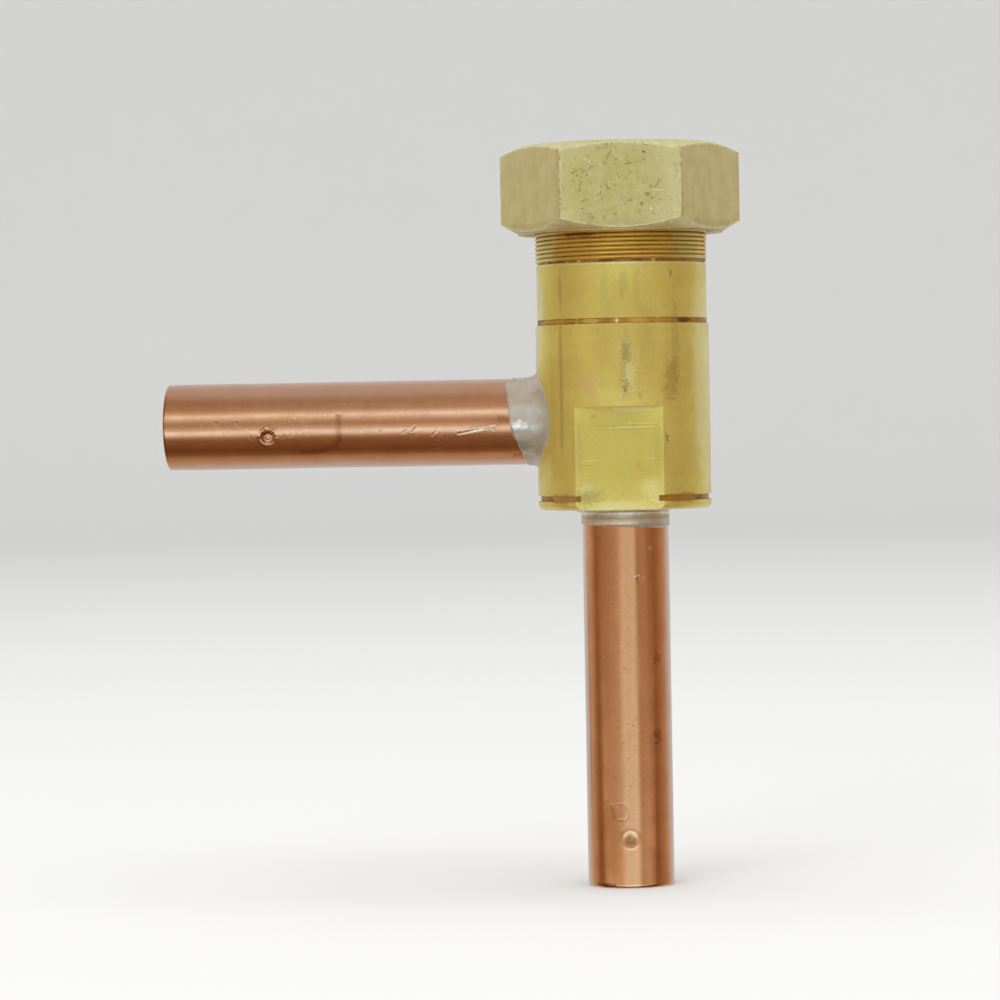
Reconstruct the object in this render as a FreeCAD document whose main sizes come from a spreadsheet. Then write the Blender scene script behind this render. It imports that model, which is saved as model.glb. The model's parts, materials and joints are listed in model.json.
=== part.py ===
import FreeCAD, Part
import math
import os
import Sketcher

# A motorised expansion valve of the angle pattern, for refrigerant lines.
# A turned brass body has a copper stub brazed into its side and another into its base.
# A stepper motor in a sealed can hangs in the body's bore, clamped by a hexagonal union nut.
# Its lead screw lifts a piston off a slotted orifice tube, which opens the way to the lower stub.
# Millimetres, +Z up. The origin is the centre of the lower stub's open end.
# The side stub points along -X and the body's milled flat faces -Y.

# Driving dimensions: name, value, what it is.
DIMENSIONS = [
    ("tube_outside", 15.875, "outside of both copper stubs"),
    ("tube_bore", 12.4, "bore of the stubs beyond their sockets"),
    ("socket_bore", 12.83, "socket bore that takes the line's tube"),
    ("socket_depth", 17.5, "depth of the socket bore"),
    ("tube_rounding", 0.4, "rounding of a stub's open end"),
    ("stake_from_end", 19.5, "side stub's tube stop to its open end"),
    ("stake_width", 2.6, "width of the punched tube stop"),
    ("stake_depth", 0.7, "depth of the punched tube stop"),
    ("mark_from_end", 9.0, "lower stub's round mark to its open end"),
    ("mark_width", 2.9, "width of the round mark"),
    ("mark_depth", 0.15, "depth of the round mark"),
    ("lower_stub_reach", 69.1, "open end of the lower stub to the body's base"),
    ("side_stub_reach", 84.45, "open end of the side stub to the valve's axis"),
    ("braze_gap", 0.04, "radial gap between a stub and its seat"),
    ("lower_stub_entry", 6.0, "depth of the lower stub's seat in the base"),
    ("side_wall", 1.5, "chamber's bore to the seat of the side stub"),
    ("body_outside", 31.75, "outside of the body's barrel"),
    ("body_height", 60.0, "base to the body's top face"),
    ("base_rounding", 0.6, "rounding of the body's lower rim"),
    ("rim_groove_rise", 1.6, "base to the lower groove"),
    ("rim_groove_width", 1.0, "width of the lower groove"),
    ("rim_groove_depth", 0.5, "depth of the lower groove"),
    ("flat_height", 18.75, "height of the milled flat above the base"),
    ("flat_depth", 2.16, "depth of the milled flat below the barrel"),
    ("port_rise", 16.3, "base to the side port's axis"),
    ("collar_rise", 34.7, "base to the collar"),
    ("collar_step", 0.325, "radial step from the barrel to the collar"),
    ("collar_groove_width", 1.0, "width of the groove under the collar"),
    ("collar_groove_depth", 0.35, "depth of the groove under the collar"),
    ("neck_rise", 44.8, "base to the threaded neck"),
    ("thread_step", 0.125, "radial step from the barrel to the thread's crest"),
    ("thread_depth", 0.485, "radial depth of the neck's thread"),
    ("thread_play", 0.08, "radial play of the nut on the thread's crest"),
    ("edge_break", 0.4, "small chamfer on turned edges"),
    ("motor_bore", 25.4, "bore that holds the motor"),
    ("chamber_bore", 20.0, "bore of the flow chamber"),
    ("floor_web", 2.0, "seat of the lower stub to the chamber's floor"),
    ("orifice_outside", 11.0, "outside of the orifice tube"),
    ("orifice_bore", 8.6, "bore of the orifice tube"),
    ("orifice_cap", 1.2, "thickness of the orifice tube's closed end"),
    ("orifice_head", 4.7, "windows to the closed end of the orifice tube"),
    ("window_foot", 0.8, "width of an orifice window at its bottom"),
    ("window_top", 3.2, "width of an orifice window at its top"),
    ("window_sill", 1.0, "piston's rest position to the foot of the windows"),
    ("seat_height", 1.8, "height of the seat ring"),
    ("seat_width", 2.7, "radial width of the seat ring"),
    ("rest_gap", 0.1, "gap under the closed piston"),
    ("travel", 6.0, "travel of the piston"),
    ("slide_gap", 0.05, "radial gap of a sliding or running fit"),
    ("piston_outside", 14.7, "outside of the piston"),
    ("piston_relief", 1.8, "gap above the orifice tube inside the piston"),
    ("piston_web", 1.0, "thickness of the piston's web under the drive nut"),
    ("balance_hole", 1.3, "diameter of a pressure balance hole"),
    ("drive_nut_height", 6.5, "height of the drive nut"),
    ("drive_nut_outside", 8.0, "outside of the drive nut"),
    ("screw_outside", 3.9, "outside of the lead screw"),
    ("screw_overhang", 0.5, "lead screw below the drive nut at rest"),
    ("guide_overlap", 2.3, "piston inside the guide's flange at rest"),
    ("guide_skirt", 4.4, "skirt of the guide below its flange"),
    ("skirt_gap", 0.25, "radial gap between the guide's skirt and the chamber"),
    ("head_room", 1.7, "room above the open piston"),
    ("seal_height", 1.4, "height of the piston seal"),
    ("seal_width", 1.0, "radial width of the piston seal"),
    ("key_width", 2.0, "width of the guide key"),
    ("key_root", 1.4, "drive nut's pocket to the inner end of the guide key"),
    ("key_reach", 1.25, "guide key beyond the piston"),
    ("can_gap", 0.3, "radial gap around the motor can"),
    ("can_wall", 0.5, "wall of the motor can"),
    ("can_flange", 1.5, "thickness of the can's flange"),
    ("flange_margin", 0.15, "flange edge inside the thread's root"),
    ("gasket_thickness", 0.8, "thickness of the flange gasket"),
    ("bearing_plate_thickness", 2.0, "thickness of the lower bearing plate"),
    ("bush_wall", 1.3, "wall of a bearing bush"),
    ("bush_flange", 0.6, "flange of the lower bush"),
    ("journal", 4.4, "lower journal of the lead screw"),
    ("pivot", 3.0, "upper pivot of the lead screw"),
    ("thrust_collar", 6.8, "thrust collar of the lead screw"),
    ("thrust_height", 0.8, "height of the thrust collar"),
    ("terminal_height", 2.4, "height of the terminal ring"),
    ("pole_bore", 14.8, "bore between the pole claws"),
    ("pole_sheet", 0.8, "sheet thickness of the pole pieces"),
    ("pole_play", 0.05, "gap between a pole cup and the can"),
    ("claw_thickness", 0.6, "thickness of a pole claw"),
    ("claw_root", 1.7, "width of a claw at its root"),
    ("claw_tip", 1.0, "width of a claw at its tip"),
    ("claw_tip_gap", 0.7, "claw's tip to the facing pole sheet"),
    ("bobbin_wall", 0.5, "wall of a coil bobbin"),
    ("bobbin_margin", 0.2, "bobbin flange to the pole cup's wall"),
    ("rotor_gap", 0.3, "air gap between claws and magnet"),
    ("magnet_bore", 8.0, "bore of the rotor magnet"),
    ("magnet_inset", 1.0, "magnet's ends inside the two stacks"),
    ("header_thickness", 2.0, "thickness of the header plate"),
    ("glass_seal", 2.8, "outside of a glass seal"),
    ("header_pin", 1.0, "diameter of a header pin"),
    ("pin_circle", 12.0, "circle of the header pins"),
    ("pin_rise", 3.0, "header pins above the header plate"),
    ("pin_tail", 1.4, "header pins below the header plate"),
    ("washer_thickness", 0.5, "thickness of the slip washer"),
    ("washer_lap", 0.4, "radial step from the nut's mouth to the slip washer's bore"),
    ("face_gap", 0.05, "axial gap on each face of the slip washer"),
    ("nut_across_flats", 38.1, "union nut across its flats"),
    ("nut_height", 16.15, "union nut's full height"),
    ("nut_lip", 3.65, "thickness of the nut's top lip"),
    ("nut_mouth", 22.0, "opening in the nut's lip"),
    ("nut_turn", 4.15, "nut's angle to the body's flat, degrees"),
    ("nut_face_step", 0.3, "radial step from the nut's flats to its washer face"),
    ("nut_face_height", 0.2, "height of the washer face"),
    ("nut_crown_inset", 1.2, "nut's flats to the circle where its top chamfer starts"),
    ("nut_corner_rounding", 1.0, "rounding of the nut's upright corners"),
    ("braze_fillet", 1.3, "fillet of the side braze"),
    ("braze_film", 0.12, "thickness of the braze film on the side stub"),
    ("film_length", 4.7, "length of the braze film along the side stub"),
    ("base_braze_height", 2.9, "height of the braze under the base"),
    ("base_braze_wall", 0.45, "thickness of the lower bead"),
    ("base_braze_spread", 2.1, "spread of the braze on the base"),
    ("base_braze_foot", 0.4, "thickness of the spread braze"),
    ("base_braze_fillet", 1.1, "fillet of the lower braze"),
]

CLAWS = 12
ORIFICE_WINDOWS = 4
BALANCE_HOLES = 2
HEADER_PINS = 4
NUT_CROWN_DEG = 22.0
NUT_FOOT_DEG = 30.0
STAKE_ANGLE_DEG = 15.5
MARK_ANGLE_DEG = 3.0
COLLAR_EDGE_SHARE = 0.7
BEAD_EDGE_SHARE = 0.7
PIN_TIP_SHARE = 0.5
PASS_SHARE = 1.5

doc = FreeCAD.newDocument("ExpansionValve")
sheet = doc.addObject("Spreadsheet::Sheet", "Sizes")


class Size:
    """A length that holds both its formula over the sheet and its number."""

    def __init__(self, formula, number):
        self.formula = formula
        self.number = number

    def __add__(self, other):
        other = as_size(other)
        return Size(f"({self.formula} + {other.formula})", self.number + other.number)

    def __sub__(self, other):
        other = as_size(other)
        return Size(f"({self.formula} - {other.formula})", self.number - other.number)

    def __mul__(self, factor):
        return Size(f"({self.formula} * {factor:.9f})", self.number * factor)

    def __truediv__(self, divisor):
        return Size(f"({self.formula} / {divisor:.9f})", self.number / divisor)

    def __neg__(self):
        return Size(f"(-1 * {self.formula})", -self.number)


def as_size(value):
    """Returns a plain number as a Size."""
    if isinstance(value, Size):
        return value
    return Size(f"{value:.9f}", float(value))


ZERO = as_size(0)


def fill_sheet():
    """Writes the driving dimensions into the sheet and returns them by name."""
    sizes = {}
    for row, (name, value, meaning) in enumerate(DIMENSIONS, start=1):
        sheet.set(f"A{row}", meaning)
        sheet.set(f"B{row}", str(value))
        sheet.setAlias(f"B{row}", name)
        sizes[name] = Size(f"Sizes.{name}", float(value))
    doc.recompute()
    return sizes


D = fill_sheet()

# Radii that several pieces share.
TUBE_R = D["tube_outside"] / 2
TUBE_BORE_R = D["tube_bore"] / 2
SOCKET_R = D["socket_bore"] / 2
BODY_R = D["body_outside"] / 2
COLLAR_R = BODY_R - D["collar_step"]
CREST_R = BODY_R - D["thread_step"]
NECK_R = CREST_R - D["thread_depth"]
MOTOR_BORE_R = D["motor_bore"] / 2
CHAMBER_R = D["chamber_bore"] / 2
ORIFICE_R = D["orifice_outside"] / 2
PISTON_R = D["piston_outside"] / 2
DRIVE_NUT_R = D["drive_nut_outside"] / 2
SCREW_R = D["screw_outside"] / 2
GUIDE_BORE_R = PISTON_R + D["slide_gap"]
SEAL_R = GUIDE_BORE_R + D["seal_width"]
KEY_INNER = DRIVE_NUT_R + D["key_root"]
KEY_OUTER = PISTON_R + D["key_reach"]
CAN_R = MOTOR_BORE_R - D["can_gap"]
CAN_INNER_R = CAN_R - D["can_wall"]
FLANGE_R = NECK_R - D["flange_margin"]
JOURNAL_R = D["journal"] / 2
PIVOT_R = D["pivot"] / 2
CUP_R = CAN_INNER_R - D["pole_play"]
POLE_R = D["pole_bore"] / 2
MAGNET_R = POLE_R - D["rotor_gap"]
HUB_R = D["magnet_bore"] / 2
SIDE_SEAT = CHAMBER_R + D["side_wall"]
MOUTH_R = D["nut_mouth"] / 2
FLAT_R = D["nut_across_flats"] / 2
FILM_REACH = BODY_R + D["film_length"]

# Heights, from the lower stub's open end upwards.
BASE_Z = D["lower_stub_reach"]
PORT_Z = BASE_Z + D["port_rise"]
STUB_SEAT_Z = BASE_Z + D["lower_stub_entry"]
FLOOR_Z = STUB_SEAT_Z + D["floor_web"]
PISTON_Z = FLOOR_Z + D["seat_height"] + D["rest_gap"]
WINDOW_Z = PISTON_Z + D["window_sill"]
WINDOW_TOP_Z = PISTON_Z + D["travel"]
ORIFICE_TOP_Z = WINDOW_TOP_Z + D["orifice_head"]
WEB_Z = ORIFICE_TOP_Z + D["piston_relief"]
DRIVE_NUT_Z = WEB_Z + D["piston_web"]
PISTON_TOP_Z = DRIVE_NUT_Z + D["drive_nut_height"]
LEDGE_Z = PISTON_TOP_Z - D["guide_overlap"]
SKIRT_Z = LEDGE_Z - D["guide_skirt"]
SEAL_Z = SKIRT_Z + D["seal_height"]
GUIDE_TOP_Z = PISTON_TOP_Z + D["travel"] + D["head_room"]
STACK_Z = GUIDE_TOP_Z + D["bearing_plate_thickness"]
TOP_Z = BASE_Z + D["body_height"]
FLANGE_Z = TOP_Z + D["gasket_thickness"]
HEADER_TOP_Z = FLANGE_Z + D["can_flange"]
HEADER_Z = HEADER_TOP_Z - D["header_thickness"]
STACK_TOP_Z = HEADER_Z - D["terminal_height"]
STACK_HEIGHT = (STACK_TOP_Z - STACK_Z) / 2
THRUST_Z = STACK_Z + D["bush_flange"] + D["rest_gap"]
WASHER_Z = HEADER_TOP_Z + D["face_gap"]
LIP_Z = WASHER_Z + D["washer_thickness"] + D["face_gap"]
NUT_TOP_Z = LIP_Z + D["nut_lip"]
NUT_Z = NUT_TOP_Z - D["nut_height"]


def new_body(label):
    """Starts a sub-part and returns its body."""
    body = doc.addObject("PartDesign::Body", label)
    body.Label = label
    return body


def new_sketch(body, name, plane, offset=None):
    """Starts a sketch on one of the body's own origin planes."""
    made = body.newObject("Sketcher::SketchObject", name)
    origin = next(part for part in body.Origin.OriginFeatures if part.Role == plane)
    made.AttachmentSupport = [(origin, "")]
    made.MapMode = "FlatFace"
    if offset is not None:
        made.setExpression("AttachmentOffset.Base.z", offset.formula)
    return made


def hold_point(made, edge, end, across, up):
    """Ties a point of the sketch to its two coordinates."""
    axes = (("DistanceX", -2, across), ("DistanceY", -1, up))
    for kind, axis, size in axes:
        if abs(size.number) < 1e-9:
            made.addConstraint(Sketcher.Constraint("PointOnObject", edge, end, axis))
        elif size.number > 0:
            tie = Sketcher.Constraint(kind, -1, 1, edge, end, size.number)
            made.setExpression(f"Constraints[{made.addConstraint(tie)}]", size.formula)
        else:
            tie = Sketcher.Constraint(kind, edge, end, -1, 1, -size.number)
            made.setExpression(f"Constraints[{made.addConstraint(tie)}]", (-size).formula)


def draw_outline(made, points):
    """Draws a closed outline of straight edges through the points."""
    corners = [(as_size(across), as_size(up)) for across, up in points]
    edges = []
    for start, end in zip(corners, corners[1:] + corners[:1]):
        first = FreeCAD.Vector(start[0].number, start[1].number, 0)
        last = FreeCAD.Vector(end[0].number, end[1].number, 0)
        edges.append(made.addGeometry(Part.LineSegment(first, last), False))
    for edge, following in zip(edges, edges[1:] + edges[:1]):
        made.addConstraint(Sketcher.Constraint("Coincident", edge, 2, following, 1))
    for edge, (across, up) in zip(edges, corners):
        hold_point(made, edge, 1, across, up)


def draw_circle(made, across, up, radius):
    """Draws a circle whose centre and radius follow their sizes."""
    centre = FreeCAD.Vector(across.number, up.number, 0)
    circle = Part.Circle(centre, FreeCAD.Vector(0, 0, 1), radius.number)
    edge = made.addGeometry(circle, False)
    tie = made.addConstraint(Sketcher.Constraint("Radius", edge, radius.number))
    made.setExpression(f"Constraints[{tie}]", radius.formula)
    hold_point(made, edge, 3, across, up)


def draw_axis(made, height):
    """Draws a level construction line to turn a profile about."""
    start = FreeCAD.Vector(0, height.number, 0)
    end = FreeCAD.Vector(1, height.number, 0)
    line = made.addGeometry(Part.LineSegment(start, end), True)
    hold_point(made, line, 1, ZERO, height)
    hold_point(made, line, 2, as_size(1), height)


def body_volume(body):
    """Returns the body's volume so far."""
    doc.recompute()
    if body.Tip is None or body.Shape.isNull():
        return 0.0
    return body.Shape.Volume


def require_change(body, before, sign, name):
    """Stops if a feature added or removed nothing."""
    change = (body_volume(body) - before) * sign
    if change <= 1e-6:
        raise RuntimeError(f"{name} changed nothing on {body.Label}")


def turn_section(body, name, points, cut=False, about=None):
    """Turns an outline of radii and heights about the axis, as metal or as a cut."""
    before = body_volume(body)
    made = new_sketch(body, f"{name}Section", "XZ_Plane")
    if about is not None:
        draw_axis(made, about)
    draw_outline(made, points)
    kind = "PartDesign::Groove" if cut else "PartDesign::Revolution"
    feature = body.newObject(kind, name)
    feature.Profile = made
    feature.ReferenceAxis = (made, ["V_Axis" if about is None else "Axis0"])
    feature.Angle = 360
    require_change(body, before, -1 if cut else 1, name)
    return feature


def extrude(body, name, made, length, cut=False, reverse=False):
    """Pads or pockets a sketch by a length, against its normal when reversed."""
    before = body_volume(body)
    feature = body.newObject("PartDesign::Pocket" if cut else "PartDesign::Pad", name)
    feature.Profile = made
    feature.setExpression("Length", length.formula)
    feature.Reversed = reverse
    require_change(body, before, -1 if cut else 1, name)
    return feature


def repeat_round(body, name, feature, count):
    """Repeats a feature evenly about the axis."""
    before = body_volume(body)
    pattern = body.newObject("PartDesign::PolarPattern", name)
    pattern.Originals = [feature]
    axis = next(part for part in body.Origin.OriginFeatures if part.Role == "Z_Axis")
    pattern.Axis = (axis, [""])
    pattern.Angle = 360
    pattern.Occurrences = count
    body.Tip = pattern
    if abs(body_volume(body) - before) < 1e-6:
        raise RuntimeError(f"{name} repeated nothing on {body.Label}")


def ring_edges(body, rings):
    """Returns the names of the body's round edges at the given radii and heights."""
    doc.recompute()
    names = []
    for radius, height in rings:
        for number, edge in enumerate(body.Shape.Edges, start=1):
            if not isinstance(edge.Curve, Part.Circle):
                continue
            same_size = abs(edge.Curve.Radius - radius.number) < 1e-4
            if same_size and abs(edge.Curve.Center.z - height.number) < 1e-4:
                names.append(f"Edge{number}")
    if not names:
        raise RuntimeError(f"no round edge found on {body.Label}")
    return names


def upright_edges(body, distance):
    """Returns the names of the straight upright edges at a distance from the axis."""
    doc.recompute()
    names = []
    for number, edge in enumerate(body.Shape.Edges, start=1):
        ends = [vertex.Point for vertex in edge.Vertexes]
        if len(ends) != 2 or abs(ends[0].z - ends[1].z) < 1e-6:
            continue
        off_axis = [math.hypot(end.x, end.y) for end in ends]
        if max(abs(value - distance.number) for value in off_axis) < 1e-4:
            names.append(f"Edge{number}")
    return names


def soften(body, name, kind, size, edges):
    """Fillets or chamfers the named edges of the body's last feature."""
    feature = body.newObject(f"PartDesign::{kind}", name)
    feature.Base = (feature.BaseFeature, edges)
    feature.setExpression("Radius" if kind == "Fillet" else "Size", size.formula)
    doc.recompute()
    return feature


def ring(label, inner, outer, bottom, top):
    """Builds a plain turned ring."""
    body = new_body(label)
    turn_section(body, f"{label}_ring", [(inner, bottom), (outer, bottom), (outer, top), (inner, top)])
    return body


def stub_tube(label, length):
    """Builds a copper stub from its open end up."""
    body = new_body(label)
    socket_z = D["socket_depth"]
    turn_section(body, f"{label}_wall", [
        (SOCKET_R, ZERO), (TUBE_R, ZERO), (TUBE_R, length),
        (TUBE_BORE_R, length), (TUBE_BORE_R, socket_z), (SOCKET_R, socket_z),
    ])
    soften(body, f"{label}_rim", "Chamfer", D["tube_rounding"], ring_edges(body, [(TUBE_R, ZERO)]))
    return body


def round_dent(body, name, height, width, depth):
    """Cuts a round dent into the side of a stub, its floor flat to half its width."""
    floor_r = TUBE_R - depth
    outside = TUBE_R + D["tube_rounding"]
    turn_section(body, name, [
        (floor_r, height), (outside, height), (outside, height + width / 2),
        (TUBE_R, height + width / 2), (floor_r, height + width / 4),
    ], cut=True, about=height)


def build_lower_stub():
    """Upright stub with a shallow round mark on the flat's side."""
    body = stub_tube("lower_stub_tube", STUB_SEAT_Z)
    round_dent(body, "RoundMark", D["mark_from_end"], D["mark_width"], D["mark_depth"])
    turned = FreeCAD.Rotation(FreeCAD.Vector(0, 0, 1), -90 + MARK_ANGLE_DEG)
    body.Placement = FreeCAD.Placement(FreeCAD.Vector(0, 0, 0), turned)
    return body


def build_side_stub():
    """Level stub along -X, its punched tube stop on the flat's side and below the middle."""
    body = stub_tube("side_stub_tube", D["side_stub_reach"] - SIDE_SEAT)
    stake_z = D["stake_from_end"]
    half = D["stake_width"] / 2
    round_dent(body, "TubeStop", stake_z, D["stake_width"], D["stake_depth"])
    bump_r = TUBE_BORE_R - D["stake_depth"]
    buried = TUBE_BORE_R + D["tube_rounding"]
    turn_section(body, "TubeStopBump", [
        (bump_r, stake_z), (buried, stake_z), (buried, stake_z + half),
        (TUBE_BORE_R, stake_z + half), (bump_r, stake_z + half / 2),
    ], about=stake_z)
    lean = math.radians(STAKE_ANGLE_DEG)
    stake_side = FreeCAD.Vector(0, -math.cos(lean), -math.sin(lean))
    inward = FreeCAD.Vector(1, 0, 0)
    turned = FreeCAD.Rotation(stake_side, inward.cross(stake_side), inward, "ZXY")
    body.Placement = FreeCAD.Placement(FreeCAD.Vector(0, 0, 0), turned)
    body.setExpression("Placement.Base.x", (-D["side_stub_reach"]).formula)
    body.setExpression("Placement.Base.z", PORT_Z.formula)
    return body


def build_valve_body():
    """Turned brass body: bores, grooves, milled flat and side port."""
    body = new_body("valve_body")
    collar_z = BASE_Z + D["collar_rise"]
    neck_z = BASE_Z + D["neck_rise"]
    socket_r = TUBE_R + D["braze_gap"]
    turn_section(body, "Barrel", [
        (socket_r, BASE_Z), (BODY_R, BASE_Z), (BODY_R, collar_z), (COLLAR_R, collar_z),
        (COLLAR_R, neck_z), (NECK_R, neck_z), (NECK_R, TOP_Z), (MOTOR_BORE_R, TOP_Z),
        (MOTOR_BORE_R, LEDGE_Z), (CHAMBER_R, LEDGE_Z), (CHAMBER_R, FLOOR_Z),
        (ORIFICE_R, FLOOR_Z), (ORIFICE_R, STUB_SEAT_Z), (socket_r, STUB_SEAT_Z),
    ])
    soften(body, "LowerRim", "Chamfer", D["base_rounding"], ring_edges(body, [(BODY_R, BASE_Z)]))
    soften(body, "NeckEdge", "Chamfer", D["edge_break"], ring_edges(body, [(NECK_R, TOP_Z)]))
    ledge = (COLLAR_R - NECK_R) * COLLAR_EDGE_SHARE
    soften(body, "CollarEdge", "Chamfer", ledge, ring_edges(body, [(COLLAR_R, neck_z)]))
    grooves = (
        ("RimGroove", BASE_Z + D["rim_groove_rise"], "rim_groove"),
        ("CollarGroove", collar_z - D["collar_groove_width"], "collar_groove"),
    )
    for name, low, size in grooves:
        width = D[f"{size}_width"]
        depth = D[f"{size}_depth"]
        turn_section(body, name, [
            (BODY_R - depth, low), (BODY_R + depth, low),
            (BODY_R + depth, low + width), (BODY_R - depth, low + width),
        ], cut=True)
    flat = new_sketch(body, "FlatOutline", "XZ_Plane", BODY_R - D["flat_depth"])
    low = BASE_Z - D["edge_break"]
    draw_outline(flat, [
        (-BODY_R, low), (BODY_R, low),
        (BODY_R, BASE_Z + D["flat_height"]), (-BODY_R, BASE_Z + D["flat_height"]),
    ])
    extrude(body, "MilledFlat", flat, D["flat_depth"] * 2, cut=True, reverse=True)
    port = new_sketch(body, "PortOutline", "YZ_Plane")
    draw_circle(port, ZERO, PORT_Z, TUBE_BORE_R)
    extrude(body, "SidePort", port, BODY_R, cut=True)
    seat = new_sketch(body, "PortSeatOutline", "YZ_Plane", -SIDE_SEAT)
    draw_circle(seat, ZERO, PORT_Z, socket_r)
    extrude(body, "PortSeat", seat, BODY_R, cut=True)
    return body


def build_side_braze():
    """Saddle of braze between the barrel and the side stub, with a film along the stub."""
    body = new_body("side_braze_joint")
    half = TUBE_R * PASS_SHARE
    barrel = [(ZERO, PORT_Z - half), (BODY_R, PORT_Z - half), (BODY_R, PORT_Z + half), (ZERO, PORT_Z + half)]
    turn_section(body, "BarrelCore", barrel)
    film = new_sketch(body, "FilmOutline", "YZ_Plane")
    film_r = TUBE_R + D["braze_film"]
    draw_circle(film, ZERO, PORT_Z, film_r)
    extrude(body, "FilmCore", film, FILM_REACH, reverse=True)
    soften(body, "Saddle", "Fillet", D["braze_fillet"], saddle_edges(body, film_r))
    turn_section(body, "BarrelClear", barrel, cut=True)
    stub = new_sketch(body, "StubOutline", "YZ_Plane")
    draw_circle(stub, ZERO, PORT_Z, TUBE_R)
    extrude(body, "StubClear", stub, FILM_REACH + D["film_length"], cut=True)
    return body


def saddle_edges(body, film_r):
    """Returns the edges where the film's cylinder meets the barrel's."""
    doc.recompute()
    names = []
    for number, edge in enumerate(body.Shape.Edges, start=1):
        box = edge.BoundBox
        reach = max(abs(box.YMin), abs(box.YMax))
        crosses = box.ZLength > film_r.number and box.XLength > 1e-3 and box.XMax < 0
        if crosses and reach < film_r.number + 1e-3 and reach > film_r.number / 2:
            names.append(f"Edge{number}")
    return names


def build_lower_braze():
    """Bead of braze round the lower stub, spread a little on the body's base."""
    body = new_body("lower_braze_joint")
    wall = D["base_braze_wall"]
    bead_r = TUBE_R + wall
    spread_r = TUBE_R + D["base_braze_spread"]
    foot_z = BASE_Z - D["base_braze_foot"]
    end_z = BASE_Z - D["base_braze_height"]
    turn_section(body, "Bead", [
        (TUBE_R, BASE_Z), (spread_r, BASE_Z), (spread_r, foot_z),
        (bead_r, foot_z), (bead_r, end_z), (TUBE_R, end_z),
    ])
    soften(body, "BeadHollow", "Chamfer", D["base_braze_fillet"], ring_edges(body, [(bead_r, foot_z)]))
    soften(body, "BeadEnd", "Chamfer", wall * BEAD_EDGE_SHARE, ring_edges(body, [(bead_r, end_z)]))
    return body


def build_union_nut():
    """Hexagonal union nut: chamfered hexagon, washer face, thread bore and open lip."""
    body = new_body("union_nut")
    hexagon_z = NUT_Z + D["nut_face_height"]
    corner_r = FLAT_R / math.cos(math.radians(30))
    outline = new_sketch(body, "HexagonOutline", "XY_Plane", hexagon_z)
    corners = [math.radians(60 * corner) for corner in range(6)]
    draw_outline(outline, [(corner_r * tidy(math.cos(a)), corner_r * tidy(math.sin(a))) for a in corners])
    extrude(body, "Hexagon", outline, D["nut_height"] - D["nut_face_height"])
    soften(body, "UprightCorners", "Fillet", D["nut_corner_rounding"], upright_edges(body, corner_r))
    crown_r = FLAT_R - D["nut_crown_inset"]
    beyond = corner_r + D["nut_corner_rounding"]
    drop = (beyond - crown_r) * math.tan(math.radians(NUT_CROWN_DEG))
    turn_section(body, "TopChamfer", [
        (crown_r, NUT_TOP_Z), (beyond, NUT_TOP_Z - drop), (beyond, NUT_TOP_Z),
    ], cut=True)
    face_r = FLAT_R - D["nut_face_step"]
    lift = (beyond - face_r) * math.tan(math.radians(NUT_FOOT_DEG))
    turn_section(body, "LowerChamfer", [
        (face_r, hexagon_z), (beyond, hexagon_z), (beyond, hexagon_z + lift),
    ], cut=True)
    turn_section(body, "WasherFace", [
        (ZERO, NUT_Z), (face_r, NUT_Z), (face_r, hexagon_z), (ZERO, hexagon_z),
    ])
    bore_r = CREST_R + D["thread_play"]
    turn_section(body, "ThreadBore", [
        (ZERO, NUT_Z), (bore_r, NUT_Z), (bore_r, LIP_Z), (ZERO, LIP_Z),
    ], cut=True)
    turn_section(body, "Mouth", [
        (ZERO, LIP_Z), (MOUTH_R, LIP_Z), (MOUTH_R, NUT_TOP_Z), (ZERO, NUT_TOP_Z),
    ], cut=True)
    edges = ring_edges(body, [(MOUTH_R, NUT_TOP_Z), (bore_r, NUT_Z)])
    soften(body, "BoreEdges", "Chamfer", D["edge_break"], edges)
    body.Placement = FreeCAD.Placement(FreeCAD.Vector(0, 0, 0), FreeCAD.Rotation(FreeCAD.Vector(0, 0, 1), 1))
    body.setExpression("Placement.Rotation.Angle", D["nut_turn"].formula)
    return body


def tidy(value):
    """Rounds a sine or cosine so that an exact zero stays zero."""
    return round(value, 12)


def build_slip_washer():
    """Washer that lets the nut turn on the motor's flange."""
    washer_top = WASHER_Z + D["washer_thickness"]
    return ring("slip_washer", MOUTH_R + D["washer_lap"], FLANGE_R, WASHER_Z, washer_top)


def build_gasket():
    """Soft ring between the body's top face and the motor's flange."""
    return ring("flange_gasket", MOTOR_BORE_R + D["can_gap"], FLANGE_R, TOP_Z, FLANGE_Z)


def build_motor_can():
    """Drawn can with the flange that the nut clamps."""
    body = new_body("motor_can")
    turn_section(body, "CanWall", [
        (CAN_INNER_R, GUIDE_TOP_Z), (CAN_R, GUIDE_TOP_Z), (CAN_R, FLANGE_Z),
        (FLANGE_R, FLANGE_Z), (FLANGE_R, HEADER_TOP_Z), (CAN_INNER_R, HEADER_TOP_Z),
    ])
    return body


def build_header_plate():
    """Plate that closes the can's top, with a hole for each glass seal."""
    body = new_body("header_plate")
    turn_section(body, "HeaderDisc", [
        (ZERO, HEADER_Z), (CAN_INNER_R, HEADER_Z), (CAN_INNER_R, HEADER_TOP_Z), (ZERO, HEADER_TOP_Z),
    ])
    place = D["pin_circle"] / 2 * math.cos(math.radians(45))
    hole = new_sketch(body, "SealHoleOutline", "XY_Plane", HEADER_Z)
    draw_circle(hole, place, place, D["glass_seal"] / 2)
    seal_hole = extrude(body, "SealHole", hole, D["header_thickness"], cut=True, reverse=True)
    repeat_round(body, "SealHoles", seal_hole, HEADER_PINS)
    return body


def pin_place(number):
    """Returns the two coordinates of a header pin on its circle."""
    angle = math.radians(45 + 360 / HEADER_PINS * number)
    circle_r = D["pin_circle"] / 2
    return circle_r * math.cos(angle), circle_r * math.sin(angle)


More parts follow.
